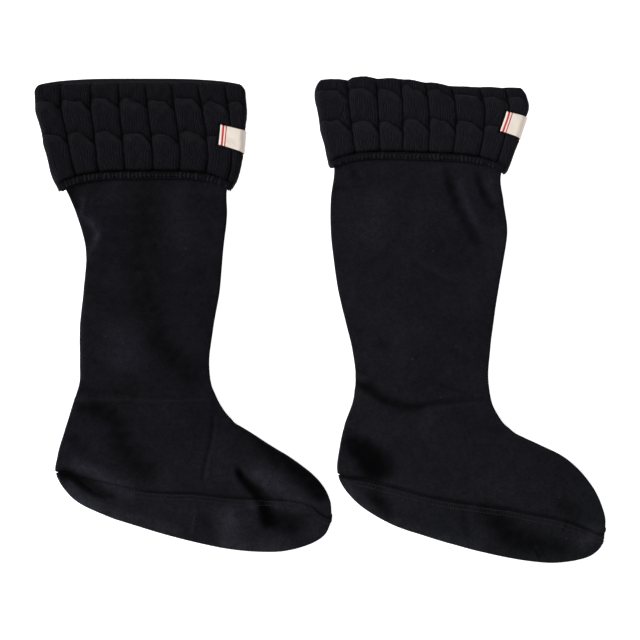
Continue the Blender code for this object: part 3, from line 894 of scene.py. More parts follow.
def fleece_tube(sock, settings, places, depth, cap_inset=0.0):
    """The sock's fleece, depth inside its outer face, with the rows that round off the toe."""
    columns = columns_at(sock.sections, places)
    angles = np.linspace(0.0, math.pi / 2.0, CAP_STEPS + 1)[1:]
    angles[-1] = math.radians(88.0)
    columns = np.concatenate((columns, np.repeat(columns[-1:], CAP_STEPS, axis=0)))
    squeeze = np.concatenate((np.ones(len(places)), np.cos(angles)))[:, None]
    ahead = np.concatenate((np.zeros(len(places)), (CAP_REACH - cap_inset) * np.sin(angles)))
    lift = np.maximum(columns[:, 4:5], 0.0)
    loft = np.maximum(columns[:, 5:6], 0.0)
    loft = loft * (1.0 + settings.swell / MM / FULL_LOFT * smooth_step(loft - SWELL_FROM))
    length = section_lengths(columns)
    down = np.append(places, np.full(CAP_STEPS, places[-1]))[:, None]

    def levels(distance):
        share = np.clip(distance / length, 0.0, 1.0)
        swell = loft * np.sin(math.pi * share) ** SWELL_POWER
        return lift + depth + 0.0 * share, lift + LEG_HEIGHT + swell - depth

    def shift(fraction, height):
        low = 1.0 - smooth_step((height - LEG_LIFT) / LEG_HEIGHT)
        near_mouth = np.clip(1.0 - down / RISE_RUN, 0.0, 1.0)
        from_edge = np.minimum(fraction, 1.0 - fraction) * length + CUFF_EDGE - LEG_EDGE
        droop = corner_drop(np.maximum(from_edge, 0.0), down)
        return sock.rim_rise * plateau(fraction) * low * near_mouth - droop

    tube = Tube(columns, (LEG_EDGE, LEG_EDGE), levels, shift, squeeze, ahead[:, None])
    return tube, np.maximum(columns[:, 6:7], 0.0)


def seam_line(tube, seam, open_row):
    """The seam's share of each half section, and the share that a millimetre beside it takes.

    A seam that runs nearly along a section is met at a slant, so the millimetre takes more.
    """
    at = seam.copy()
    at[:open_row] = 0.0
    share = tube.share_of(at)
    points, _ = tube.place(share, 1)
    run = np.gradient(points[:, 0, :2], axis=0)
    run /= np.maximum(np.linalg.norm(run, axis=1), 1e-6)[:, None]
    crossing = np.abs(run[:, 0] * tube.direction[:, 1] - run[:, 1] * tube.direction[:, 0])
    crossing[-CAP_STEPS:] = crossing[-CAP_STEPS - 1]
    crossing = np.maximum(crossing, LEAST_CROSSING)[:, None]
    return share, 1.0 / crossing / tube.total()[0]


def under_offset(seam):
    """How far the seam below the foot lies above the one on top, a little less at its ends."""
    return UNDER_SEAM_OFFSET * smooth_step(seam / UNDER_SEAM_RUN)


def fleece_relief(sock, settings, points, normals, from_seam, mouth):
    """Height of the creases, waves and seam over the plain form, and the painted shade and highlights on
    the cloth's colour.
    """
    x = points[..., 0]
    y = points[..., 1]
    top, under = facing(normals)
    waves = soft_waves(x, y, WAVES, sock.seed)
    waves += FINE_SHARE * soft_waves(x, y, FINE_WAVES, sock.seed + 1)
    waves_below = soft_waves(x, y, UNDER_WAVES, sock.seed + 2)
    uneven = settings.unevenness / MM
    height = top * (crease_relief(sock.creases, x, y) + uneven * waves)
    sunk_below = np.minimum(crease_relief(sock.under_creases, x, y), 0.0)
    height += under * (sunk_below - uneven * (1.0 + waves_below) / 2)
    height -= sock.seam_pinch * bell(from_seam, SEAM_WIDTH)
    height *= smooth_step((mouth - HIDDEN_BY_CUFF) / CUFF_FADE)
    # Painted shade in the creases and the seam's gap, painted highlights on ridges and at the outline, and
    # painted light and shade along the given lines; the sock's shade darkens its leg.
    painted_shading = np.clip(-height / HOLLOW_DEPTH, PALEST_RISE, 1.0)
    painted_shading += sock.shade * smooth_step((y - SHADE_FROM_Y) / SHADE_RUN)
    painted_shading += SEAM_SHADE * bell(from_seam, SEAM_SHADE_WIDTH) - top * crease_relief(sock.rubs, x, y)
    painted_shading *= 1.0 + TONE_UNEVEN * soft_waves(x, y, TONE_WAVES, sock.seed + 4)
    deep = np.minimum(DARK_GAIN * (1.0 - np.exp(-DARK_RATE * np.maximum(painted_shading, 0.0))), 1.0)
    painted_shading = np.where(painted_shading > 0.0, deep, np.maximum(painted_shading, PALEST)) - painted_rim_highlight(normals)
    height -= rounded_edge(from_seam, EDGE_ROUND, sock.seam_round)
    height -= rounded_edge(mouth, RIM_ROUND, FLEECE_ROLL)
    return height, painted_shading


def fleece_columns(seam, per_mm, offset, arc, spacing, sole):
    """Where the grid's columns lie on each half section, and the number of the one at the fold.

    The sole's run from the seam on top round the back fold to the seam below, and the upper's
    from the seam on top, or from the back fold where there is none, round the front fold.
    """
    widest = float((seam * arc if sole else arc).max())
    steps_top = stations(int(widest / spacing), 8, FOLD_REACH / widest)
    steps_under = stations(int(widest / spacing / UNDER_COARSER), 5, FOLD_REACH / widest)
    gap = CLEAR / 2 * per_mm
    if sole:
        edge = seam - gap
        top = edge * (1.0 - steps_top)
        under = (edge + offset) * steps_under[1:]
    else:
        edge = np.where(seam > 0.0, seam + gap, 0.0)
        under_edge = edge + offset
        top = edge + (1.0 - edge) * steps_top
        under = under_edge + (1.0 - under_edge) * (1.0 - steps_under[1:])
    return top, under, len(steps_top) - 1


def inner_face(inner, outer, normals, middle, mouth, capped):
    """The inner grid, kept inside the outer one and on its own side of the tube's middle."""
    plain = inner[..., 2]
    below = lowest_near(outer[..., 2], INNER_ROW_STEP, INNER_COLUMN_STEP) - INNER_CLEAR
    above = -lowest_near(-outer[..., 2], INNER_ROW_STEP, INNER_COLUMN_STEP) + INNER_CLEAR
    on_top = np.maximum(np.minimum(plain, below), middle + HALF_AIR)
    under = np.minimum(np.maximum(plain, above), middle - HALF_AIR)
    top_side = normals[..., 2] >= 0.0
    folded = np.abs(normals[..., 2]) < ON_FOLD
    height = np.where(folded | capped, plain, np.where(top_side, on_top, under))
    rim = rounded_edge(mouth, RIM_ROUND, FLEECE_ROLL)
    height += np.where(top_side, rim, -rim) * np.where(folded, 0.0, 1.0)
    return np.concatenate((inner[..., :2], height[..., None]), axis=-1)


def fleece_grids(sock, settings, sole):
    """Outer and inner grids of the upper or the sole, with what the shell needs besides."""
    spacing = settings.spacing / MM
    places, open_row = fleece_places(sock, spacing)
    outer_tube, seam_at = fleece_tube(sock, settings, places, 0.0)
    inner_tube, _ = fleece_tube(sock, settings, places, FLEECE, CAP_INSET)
    seam, per_mm = seam_line(outer_tube, seam_at, open_row)
    offset = under_offset(seam_at) * per_mm
    arc = outer_tube.total()[0]
    top_share, under_share, half = fleece_columns(seam, per_mm, offset, arc, spacing, sole)
    travel = np.append(places, places[-1] + CAP_REACH * np.linspace(0.2, 1.0, CAP_STEPS))[:, None]
    halves = []
    for share, side, beside in ((top_share, 1, seam), (under_share, -1, seam + offset)):
        points, normals = outer_tube.place(share, side)
        inner, _ = inner_tube.place(share, side)
        from_seam = np.where(seam > 0.0, np.abs(share - beside) / per_mm, NO_SEAM)
        halves.append((points, normals, inner, from_seam, travel + 0.0 * share, share * arc * side))
    joined = (np.concatenate(parts, axis=1) for parts in zip(*halves))
    points, normals, inner, from_seam, mouth, arcs = joined
    chart = np.stack((arcs, mouth), axis=-1)
    middle = LEG_EDGE + np.maximum(columns_at(sock.sections, places)[:, 4:5], 0.0)
    middle = np.concatenate((middle, np.repeat(middle[-1:], CAP_STEPS, axis=0)))
    relief, painted_shading = fleece_relief(sock, settings, points, normals, from_seam, mouth)
    room = np.abs(points[..., 2] - middle) - LEAST_WALL
    deepest = np.minimum(-np.maximum(room, LEAST_ROOM), 0.0)
    relief = np.where(mouth > FREE_AT_MOUTH, np.maximum(relief, deepest), relief)
    outer = points + normals * relief[..., None]
    outer[..., 2] = np.maximum(outer[..., 2], 0.0)
    capped = (np.arange(len(travel)) >= len(places))[:, None]
    inner = inner_face(inner, outer, normals, middle, mouth, capped)
    first = open_row if sole else 0
    return outer[first:], inner[first:], chart[first:], painted_shading[first:], half, open_row - first


def fleece_shell(sock, settings, sole):
    """The upper's or the sole's shell, and its painted shade and highlights at each point of the outer
    face.
    """
    outer, inner, chart, painted_shading, half, closed_rows = fleece_grids(sock, settings, sole)
    rows, columns = outer.shape[:2]
    row_picks = picks(rows, [*range(6), closed_rows - 1], INNER_ROW_STEP)
    column_picks = picks(columns, [half, 2, half - 2, half + 2, columns - 3], INNER_COLUMN_STEP)
    shell = Shell(outer, inner, chart, half, closed_rows, row_picks, column_picks)
    shell.close_toe()
    return shell, painted_shading


# --- Knit: the cuffs ---

KNIT_ROW_SPACING = 0.8
KNIT_TOP_SPACING = 0.56
KNIT_UNDER_SPACING = 1.15
KNIT_ROLL = 0.9 * KNIT / 2  # how far each face turns in at the rim and the hem
KNIT_RIM_ROUND = 3.2  # over these widths
KNIT_HEM_ROUND = 2.2
THINNEST_KNIT = 0.8  # the relief leaves this much of the knit's thickness
LEAST_AT_EDGE = 0.35  # and this much where its edges are rounded off
EDGE_BULGE = 0.9  # of the cuff's side edges where the cables cross
KNIT_INNER_ROW_STEP = 12
KNIT_INNER_COLUMN_STEP = 10

# A cable's levels, as shares of its full height over the grooves.
BACK_LEVEL = 0.34  # of the strand behind
FRONT_RISE = 0.38  # of the strand in front over it
FRONT_CROWN = 0.32  # and just below its upper edge, which runs out over CROWN_RUN
CROWN_RUN = 7.5
DIP = 0.42  # how far a strand sinks where the next crossing covers it
DIP_RUN = 4.0
PLAIN_LEVEL = 0.53  # of the cuff's plain form
HEM_LEVEL = 0.42  # of the bound-off band
RIM_SINK = 0.35  # how much lower all of it lies right at the rim
GROOVE_AT_FOLD = 0.5  # share of a groove's depth left at the cuff's folded edges

# Where its strands cross.
ARCH_PEAK = -0.42  # where across its cable the front strand's upper edge is highest
ARCH_LEFT = 0.22  # how far that edge drops to the left groove, as a share of the right
ARCH_STEP = 2.6  # over which the front strand rises from under that edge
LAST_CROSSING = 28.0  # no crossing lies nearer than this to the hem
CROSSING_SPREAD = 2.2  # how unevenly the cables start

# Painted shade and highlights on the yarn's colour: 0 is the plain knit.
ARCH_DARK = 0.5  # along the arched edge
DOME_LIGHT = 0.55  # DOME_BELOW that edge, where the strand is fullest
DOME_BELOW = 4.0
DOME_WIDTH = 3.6
BAND_LIGHT = 0.4  # along the strand's right side, BAND_BESIDE the groove
BAND_BESIDE = 3.0
BAND_WIDTH = 2.4
BAND_RUN = 12.0  # and fading out down the strand
POOL_DARK = 0.6  # in the grooves beside a crossing, and elsewhere POOL_LIGHT paler
POOL_LIGHT = 0.3
POOL_BELOW = 3.0  # the dark pool's middle, below where the crossing starts
POOL_REACH = 7.0  # along the groove
POOL_WIDTH = 3.2  # and across it
PINCH_DARK = 0.9  # in the drawn-in line above the hem
KNIT_SHADE = 2.3  # how much a sock's shade darkens its cuff

# How uneven the knit is: the wavelength of each kind of soft waves and its size.
ROW_WAVES = 15.0  # how far the crossings wander up and down
ROW_WANDER = 1.1
SIDE_WAVES = 17.0  # how far the strands wander sideways, as a share of half a cable
SIDE_WANDER = 0.1
LIGHT_WAVES = 19.0  # how strongly the painted highlights show
LIGHT_SWING = 0.7
LUMP_WAVES = 7.0  # how the yarn swells
LUMP_HEIGHT = 0.2

# The grooves, the folds, the drawn-in line and the places under the label and at the rim.
GROOVE_SHARE = 0.16  # of half a cable's width
RUNG_HEIGHT = 0.2  # of the purl rungs in the grooves
FOLD_SHARE = 0.05  # of the cuff's width, over which its folds fill the grooves
FOLD_LEVEL = 0.62  # up to this level
PINCH_WIDTH = 1.25  # of the drawn-in line above the hem
PRESSED = 0.75  # how far the label presses the knit down, and PRESSED_TOP more on top
PRESSED_TOP = 0.15
LABEL_MARGIN = 3.0  # it is pressed flat this far round the label
LABEL_FADE = 2.5  # and rises again over this width
ROLL_RUN = 14.0  # how far down from the rim its roll moves the crossings
SCALLOP_RUN = 9.0  # how far down the cables' scallops are felt
RIM_LINE_RUN = 26.0  # and the rim's own line


def corner_drop(from_edge, down):
    """How far the rim's corners droop, so that they are round."""
    return rounded_edge(from_edge, CORNER, CORNER) * (1.0 - smooth_step(down / (3.0 * CORNER)))


def cuff_tube(sock, places, depth):
    """The cuff's plain form, depth inside its outer face, at places down from the rim."""
    columns = columns_at(sock.cuff_rows, places)
    length = section_lengths(columns)
    at = knots(sock.cuff_rows)
    down = (places / at[-1])[:, None]
    row = np.interp(places, at, np.arange(len(at)))[:, None]

    def levels(distance):
        if depth:
            return KNIT + 0.0 * distance, KNIT + CUFF_HOLLOW + 0.0 * distance
        ramp = smooth_step((distance - length + LABEL_REACH + LABEL_RAMP) / LABEL_RAMP)
        return TAPE_LIFT * ramp, CUFF_HEIGHT + 0.0 * distance

    def shift(fraction, height):
        from_edge = np.minimum(fraction, 1.0 - fraction) * length
        droop = corner_drop(np.maximum(from_edge, 0.0), places[:, None])
        top_share = smooth_step(height / CUFF_HEIGHT)
        on_top = sock.hem_arch_top * down ** 2
        under = sock.hem_arch_under * down ** 2 + sock.rim_rise * np.clip(1.0 - row, 0.0, 1.0)
        return plateau(fraction) * (on_top * top_share + under * (1.0 - top_share)) - droop

    front_inset = CUFF_EDGE if depth else (CUFF_HEIGHT - TAPE_LIFT) / 2
    return Tube(columns, (CUFF_EDGE, front_inset), levels, shift)


def cable_place(sock, share, down, top_face):
    """Which cable a point is on, how far across it from -1 to 1, and half the cable's share."""
    rim, hem = (np.array(row) for row in sock.grooves)
    if not top_face:
        rim = hem = np.linspace(0.0, 1.0, len(rim))
    grooves = rim + (hem - rim) * down[..., None]
    which = np.clip((share[..., None] >= grooves).sum(axis=-1) - 1, 0, len(rim) - 2)
    left = np.take_along_axis(grooves, which[..., None], axis=-1)[..., 0]
    right = np.take_along_axis(grooves, which[..., None] + 1, axis=-1)[..., 0]
    return which, 2.0 * (share - left) / (right - left) - 1.0, (right - left) / 2.0


def cable_height(settings, across, half_width, down, length, start, lit):
    """Height of a cable over its grooves, where its stitches lie, and its painted shade and highlights.

    across runs from -1 to 1 over the cable, and half_width is in millimetres. At each crossing
    the strand in front comes out under an arched edge. It is fullest just below that edge, and
    its wales bend round with it. start is how far down the first crossing lies, and lit how
    strongly the painted highlights on the strands show.
    """
    full = settings.cable_height / MM
    pitch = settings.crossing_pitch / MM
    right = across > ARCH_PEAK
    lean = (across - ARCH_PEAK) / np.where(right, 1.0 - ARCH_PEAK, 1.0 + ARCH_PEAK)
    drop = np.where(right, 1.0, ARCH_LEFT) * (1.0 - np.sqrt(np.clip(1.0 - lean ** 2, 0.0, 1.0)))
    drop *= settings.crossing_length / MM
    below = down - start - drop
    last = np.floor((length - LAST_CROSSING - start) / pitch)
    crossed = np.minimum(np.floor(below / pitch), last)
    below -= pitch * crossed
    ahead = np.where(crossed < last, below - pitch, -pitch)
    out = smooth_step(below / ARCH_STEP)
    crown = FRONT_RISE + FRONT_CROWN * np.exp(-below / CROWN_RUN)
    level = BACK_LEVEL + out * crown - DIP * np.exp(ahead / DIP_RUN)
    from_groove = half_width * (1.0 - np.abs(across))
    from_right = half_width * (1.0 - across)
    # Painted shadow along the arched edge and in pools in the grooves, and painted highlights on the dome
    # and on the band beside the right groove.
    dome = bell(below - DOME_BELOW, DOME_WIDTH) * np.clip(1.0 - np.abs(across) ** 4.0, 0.0, 1.0)
    band = bell(from_right - BAND_BESIDE, BAND_WIDTH) * np.exp(-below / BAND_RUN)
    dark = bell(ahead, 2.0) + bell(below, 1.0)
    tone = ARCH_DARK * dark * (0.2 + 0.8 * smooth_step((across + 0.5) / 1.2))
    tone -= out * lit * (DOME_LIGHT * dome + BAND_LIGHT * band)
    beside = (down - start - POOL_BELOW + pitch / 2.0) % pitch - pitch / 2.0
    tone += (POOL_DARK * bell(beside, POOL_REACH) - POOL_LIGHT) * bell(from_groove, POOL_WIDTH)
    height = full * level * (1.0 - np.abs(across) ** 6.0)
    from_sides = smooth_max(half_width * (-1.0 - across), half_width * (across - 1.0), 1.0)
    nested = -smooth_max(from_sides, -below, 1.5)
    wale = nested / (settings.wale_pitch / MM)
    ridges = np.abs(np.sin(math.pi * wale)) * settings.wale_height / MM
    height += ridges * smooth_step(height / (0.5 * full))
    course = (down - start - drop * np.exp(-below / 10.0)) / (settings.course_pitch / MM)
    return height, wale, course, tone


def knit_relief(sock, settings, share, side, down, length, normals, label_mask, total):
    """Height of the knit over the cuff's plain form, its stitch chart, its grooves and its painted shade
    and highlights.
    """
    def waves(wavelength, turn):
        return soft_waves(share * total, down, wavelength, sock.seed + turn)

    on_top = side > 0
    full = settings.cable_height / MM
    course_pitch = settings.course_pitch / MM
    which, across, half = cable_place(sock, share, down / length, on_top)
    chance = np.random.default_rng(sock.seed + 5)
    cables = len(sock.grooves[0]) - 1
    starts = sock.first_crossing + chance.uniform(-CROSSING_SPREAD, CROSSING_SPREAD, 2 * cables)
    start = starts[which + (0 if on_top else cables)]
    rolled = down - sock.rim_roll * bell(down, ROLL_RUN) + ROW_WANDER * waves(ROW_WAVES, 11)
    across = across + SIDE_WANDER * (1.0 - across ** 2) * waves(SIDE_WAVES, 12)
    lit = 1.0 + LIGHT_SWING * waves(LIGHT_WAVES, 13)
    height, wale, course, tone = cable_height(settings, across, half * total, rolled, length, start, lit)
    height += LUMP_HEIGHT * waves(LUMP_WAVES, 7)

    # Purl rungs in the grooves, and shallower grooves round the folds.
    groove = 1.0 - smooth_step((1.0 - np.abs(across)) / GROOVE_SHARE)
    height += RUNG_HEIGHT * np.cos(math.tau * down / course_pitch) * groove
    fold_fill = 1.0 - smooth_step(np.minimum(share, 1.0 - share) / FOLD_SHARE)
    height = height + fold_fill * GROOVE_AT_FOLD * np.maximum(FOLD_LEVEL * full - height, 0.0)

    # The bound-off band, with the drawn-in line above it, and the rim.
    from_hem = length - down
    band = settings.band / MM
    edge = smooth_step((band + 1.0 - from_hem) / 2.0)
    height = height * (1.0 - edge) + edge * HEM_LEVEL * full
    strength = plateau(share) ** 0.7 * (1.0 if on_top else 0.5)
    uneven = 0.85 + 0.15 * np.sin(share * 61.0 + sock.seed)
    height -= settings.pinch / MM * strength * uneven * bell(from_hem - band, PINCH_WIDTH)
    height = height * (1.0 - RIM_SINK * smooth_step(1.0 - down / 3.5))

    # The same over the plain form. The under side only sinks, because the cuff lies on it.
    top, under = facing(normals)
    relief = top * (height - PLAIN_LEVEL * full) + under * np.minimum(height - 0.95 * full, 0.0)
    bulge = np.sin(math.tau * (down - start) / (settings.crossing_pitch / MM) + 0.6)
    relief += EDGE_BULGE * bulge * (1.0 - np.abs(normals[..., 2])) ** 2
    pressed = -PRESSED - PRESSED_TOP * top
    relief = relief * (1.0 - label_mask) + pressed * label_mask
    relief = np.maximum(relief, THINNEST_KNIT - KNIT)
    relief -= rounded_edge(down, KNIT_RIM_ROUND, KNIT_ROLL)
    relief -= rounded_edge(from_hem, KNIT_HEM_ROUND, KNIT_ROLL)
    # Painted shade in the knit's low places and in the drawn-in line above the hem, painted highlights
    # where it stands high and at the outline; none under the label.
    painted_shading = 0.9 - (relief + PLAIN_LEVEL * full) / (0.85 * full) + tone * (1.0 - edge)
    painted_shading = np.clip(painted_shading, -1.0, 1.3) + PINCH_DARK * strength * bell(from_hem - band - 0.6, 1.8)
    painted_shading = np.minimum(painted_shading, 1.75) * (1.0 - label_mask) - painted_rim_highlight(normals)
    return np.maximum(relief, LEAST_AT_EDGE - KNIT), wale, course, groove, painted_shading


def label_rows(sock, travel):
    """Rows of the cuff where the label's upper and lower edges lie, at a travel along the tape."""
    at = knots(sock.cuff_rows)
    upper = sock.label_row + sock.label_drop * travel / LABEL_REACH
    start = np.interp(upper, np.arange(len(at)), at)
    return start, start + LABEL_HEIGHT


def label_span():
    """Arc of the label on each side of the middle of the cuff's front fold."""
    radius = (CUFF_HEIGHT - TAPE_LIFT) / 2
    return LABEL_REACH - radius + radius * math.pi / 2.0


def label_cover(sock, side, place, arc_from_front):
    """1 where the label lies on the cuff, falling to 0 just outside it."""
    span = label_span()
    along_tape = span - sock.label_shift - side * arc_from_front
    upper, lower = label_rows(sock, np.clip(along_tape, 0.0, 2.0 * span))
    reach = span - side * sock.label_shift
    return (
        smooth_step((place - upper + LABEL_MARGIN) / LABEL_FADE)
        * smooth_step((lower + LABEL_MARGIN - place) / LABEL_FADE)
        * smooth_step((reach + LABEL_MARGIN - arc_from_front) / LABEL_FADE)
    )


def cuff_grids(sock, settings):
    """Outer and inner grids of the cuff, its stitch chart, its grooves and painted shading, and the column
    at its fold.
    """
    at = knots(sock.cuff_rows)
    count = int(at[-1] / KNIT_ROW_SPACING)
    ends = np.array([0.0, 0.3, 0.7])
    places = np.concatenate((ends, np.linspace(1.3, at[-1] - 1.3, count), at[-1] - ends[::-1]))
    outer_tube = cuff_tube(sock, places, 0.0)
    inner_tube = cuff_tube(sock, places, KNIT)
    total = outer_tube.total()[0]
    widest = float(total.max())
    steps_top = stations(int(widest / KNIT_TOP_SPACING), 6, 4.0 / widest)
    steps_under = stations(int(widest / KNIT_UNDER_SPACING), 4, 4.0 / widest)
    parts = []
    for steps, side in ((steps_top, 1), (1.0 - steps_under[1:], -1)):
        share = np.broadcast_to(steps, (len(places), len(steps))).copy()
        points, normals = outer_tube.place(share, side)
        inside, _ = inner_tube.place(share, side)
        travel = np.linalg.norm(np.diff(points, axis=0), axis=-1)
        down = np.concatenate((np.zeros((1, len(steps))), np.cumsum(travel, axis=0)))
        length = down[-1:]
        cover = label_cover(sock, side, places[:, None], (1.0 - share) * total)
        relief, wale, course, groove, painted_shading = knit_relief(
            sock, settings, share, side, down, length, normals, cover, total
        )
        _, across, _ = cable_place(sock, share, down / length, side > 0)
        scallops = sock.scallop * (1.0 - across ** 2) - 0.4 * sock.scallop
        rim_line = np.interp(share, *np.transpose(sock.rim_line))
        raised = scallops * (1.0 - smooth_step(down / SCALLOP_RUN))
        raised += rim_line * (1.0 - smooth_step(down / RIM_LINE_RUN))
        raised *= np.clip(normals[..., 2], 0.0, 1.0)
        outer = points + normals * relief[..., None]
        outer[..., 1] += raised
        inside[..., 1] += raised
        outer[..., 2] = np.maximum(outer[..., 2], 0.0)
        level = np.abs(normals[..., 2])
        for from_end, radius in ((down, KNIT_RIM_ROUND), (length - down, KNIT_HEM_ROUND)):
            inside[..., 2] += side * rounded_edge(from_end, radius, KNIT_ROLL) * level
        parts.append((outer, inside, np.stack((wale, course), axis=-1), groove, painted_shading))
    outer, inner, chart, groove, painted_shading = (np.concatenate(pieces, axis=1) for pieces in zip(*parts))
    tones = {"groove": groove, "painted_shading": painted_shading + KNIT_SHADE * sock.shade}
    return outer, inner, chart, tones, len(steps_top) - 1


def cuff_shell(sock, settings):
    """The cuff's shell, and its grooves and painted shade and highlights at each point of the outer face.
    """
    outer, inner, chart, tones, half = cuff_grids(sock, settings)
    rows, columns = outer.shape[:2]
    near_ends = (*range(8), *range(rows - 7, rows - 1))
    near_folds = (3, 6, half - 6, half - 3, half, half + 3, half + 6, columns - 4)
    row_picks = picks(rows, near_ends, KNIT_INNER_ROW_STEP)
    column_picks = picks(columns, near_folds, KNIT_INNER_COLUMN_STEP)
    shell = Shell(outer, inner, chart, half, rows, row_picks, column_picks)
    shell.close_end_round()
    return shell, tones


# --- Tape: the labels ---

TAPE_STEP = 0.8
TAPE_EDGE = 0.6  # radius of its edges
TAPE_ROLL = 0.8 * TAPE / 2  # how far each face turns in there
TAPE_PROUD = 0.15  # it is this much thicker than the solid
LABEL_SINK = 0.5  # how far its tacks draw it into the knit
PROBE = 0.5  # spacing of the points that give a surface's direction
SHARE_PROBE = 0.001  # the same across the cuff, as a share of it
PUFF = 0.22  # height of the soft waves in the tape, and their length
PUFF_WAVES = 14.0


def cuff_surface(sock, share, side, place):
    """Points and normals on the cuff's plain outer form, at any share and place down it."""
    def spots(share_at, place_at):
        tube = cuff_tube(sock, place_at.ravel(), 0.0)
        points, _ = tube.place(share_at.reshape(-1, 1), side.reshape(-1, 1))
        return points[:, 0, :].reshape(*share.shape, 3)

    here = spots(share, place)
    across = spots(share, place + PROBE) - spots(share, place - PROBE)
    along = spots(share + SHARE_PROBE, place) - spots(share - SHARE_PROBE, place)
    normals = np.cross(along, across) * -side[..., None]
    return here, normals / np.linalg.norm(normals, axis=-1)[..., None]


def label_mesh(sock, name):
    """The tape's mesh, and the points and normals of its middle surface, in rows along it."""
    span = label_span()
    tape = np.linspace(0.0, 2.0 * span, int(2.0 * span / TAPE_STEP))
    drop = np.linspace(0.0, 1.0, int(LABEL_HEIGHT / TAPE_STEP))
    travel, fall = np.meshgrid(tape, drop, indexing="ij")
    upper, lower = label_rows(sock, travel)
    place = upper + (lower - upper) * fall
    fold = span - sock.label_shift
    side = np.where(travel <= fold, 1.0, -1.0)
    total = cuff_tube(sock, place.ravel(), 0.0).total()[0].reshape(place.shape)
    share = 1.0 - np.abs(fold - travel) / total
    share = np.minimum(share, 1.0 - 1.1 * SHARE_PROBE)
    here, normals = cuff_surface(sock, share, side, place)
    depth = fall * LABEL_HEIGHT
    edge = np.minimum.reduce((travel, 2 * span - travel, depth, (1.0 - fall) * LABEL_HEIGHT))
    tuck = rounded_edge(edge, TAPE_EDGE, TAPE_ROLL)[..., None]
    top, _ = facing(normals)
    puff = (PUFF * soft_waves(travel, depth, PUFF_WAVES, sock.seed + 9) * top)[..., None]
    here = here - normals * LABEL_SINK
    far = here + normals * (CLEAR + TAPE - tuck + puff + TAPE_PROUD)
    near = here + normals * (CLEAR + tuck + puff)
    far[..., 2] = np.maximum(far[..., 2], 0.0)
    near[..., 2] = np.maximum(near[..., 2], 0.1)
    rows, columns = travel.shape
    far_index = np.arange(rows * columns).reshape(rows, columns)
    near_index = far_index + rows * columns
    faces = [tuple(face) for index in (far_index, near_index) for face in grid_faces(index)]
    rim = np.concatenate((far_index[0, :-1], far_index[:-1, -1], far_index[-1, :0:-1], far_index[:0:-1, 0]))
    for one, other in zip(rim, np.roll(rim, -1)):
        faces.append((one, other, other + rows * columns, one + rows * columns))
    points = np.concatenate((far.reshape(-1, 3), near.reshape(-1, 3)))
    chart = np.stack((travel, depth), axis=-1).reshape(-1, 2)
    return make_mesh(name, points, faces, np.concatenate((chart, chart))), here, normals


# --- Node trees ---

class Signal:
    """A node's output that Python's operators work on. Numbers go in as they are."""

    def __init__(self, tree, socket=None):
        self.tree = tree
        self.socket = socket

    def node(self, kind, settings=(), inputs=(), output=0):
        """Adds a node: its settings first, then the values or links of its sockets."""
        made = self.tree.nodes.new(kind)
        for name, value in dict(settings).items():
            setattr(made, name, value)
        for name, value in dict(inputs).items():
            if isinstance(value, Signal):
                self.tree.links.new(value.socket, made.inputs[name])
            else:
                made.inputs[name].default_value = value
        return Signal(self.tree, made.outputs[output])

    def math(self, operation, *values):
        """This signal and maybe others put through one of Blender's operations."""
        return self.node("ShaderNodeMath", {"operation": operation}, enumerate((self, *values)))

    def __add__(self, other):
        return self.math("ADD", other)

    __radd__ = __add__

    def __sub__(self, other):
        return self.math("SUBTRACT", other)

    def __rsub__(self, other):
        return self.node("ShaderNodeMath", {"operation": "SUBTRACT"}, {0: other, 1: self})

    def __mul__(self, other):
        return self.math("MULTIPLY", other)

    __rmul__ = __mul__

    def __truediv__(self, other):
        return self.math("DIVIDE", other)

    def smooth(self, low, high):
        """0 below low, 1 above high and a smooth rise between."""
        settings = {"interpolation_type": "SMOOTHSTEP"}
        return self.node("ShaderNodeMapRange", settings, {"Value": self, "From Min": low, "From Max": high})

    def blend(self, low, high):
        """A colour between low at 0 and high at 1."""
        return self.node("ShaderNodeMix", {"data_type": "RGBA"}, {0: self, 6: low, 7: high}, 2)

    def noise(self, scale, detail=2.0, roughness=0.5):
        """Smooth noise from this signal's coordinates, with scale in features to the metre."""
        inputs = {"Vector": self, "Scale": scale, "Detail": detail, "Roughness": roughness}
        return self.node("ShaderNodeTexNoise", {}, inputs)

    def scaled(self, gain):
        """A colour made darker or lighter."""
        return self.node("ShaderNodeVectorMath", {"operation": "SCALE"}, {0: self, 3: gain})

    def axis(self, number):
        """One coordinate: 0 for x, 1 for y, 2 for z."""
        return self.node("ShaderNodeSeparateXYZ", {}, {0: self}, number)


def opaque(colour, gain=1.0):
    """A colour, darker or lighter, as a socket takes it."""
    return (*(channel * gain for channel in colour), 1.0)


SHEEN_ROUGHNESS = 0.5


def new_material(name, roughness, sheen, specular):
    """A material, its shader's settings and the start of its node tree."""
    made = bpy.data.materials.new(name)
    made.use_nodes = True
    shader = made.node_tree.nodes["Principled BSDF"]
    values = {"Roughness": roughness, "Sheen Weight": sheen, "Specular IOR Level": specular}
    for socket, value in values.items():
        shader.inputs[socket].default_value = value
    shader.inputs["Sheen Roughness"].default_value = SHEEN_ROUGHNESS
    return made, shader, Signal(made.node_tree)


def connect(signal, shader, name):
    """Links a signal to the shader's own socket."""
    signal.tree.links.new(signal.socket, shader.inputs[name])


def bump(height, distance):
    """The surface's direction with this relief on it, distance metres from 0 to 1."""
    return height.node("ShaderNodeBump", {}, {"Strength": 1.0, "Distance": distance, "Height": height})


def attribute(start, name):
    """What the mesh holds under that name at each point."""
    return start.node("ShaderNodeAttribute", {"attribute_name": name}, output="Fac")


def object_coordinates(start):
    """Places on the piece, in metres."""
    return start.node("ShaderNodeTexCoord", output="Object")


def cloth_chart(start):
    """Places on the cloth: millimetres on fleece and tape, stitches on the knit."""
    return start.node("ShaderNodeUVMap", {"uv_map": "cloth"})


LINT_SCALE = 1.0 / 62.0  # specks of lint to a millimetre of cloth
LINT_SIZE = 0.0060  # of a speck, as a share of the cloth that it has
LINT_COLOUR = (0.07, 0.07, 0.07)


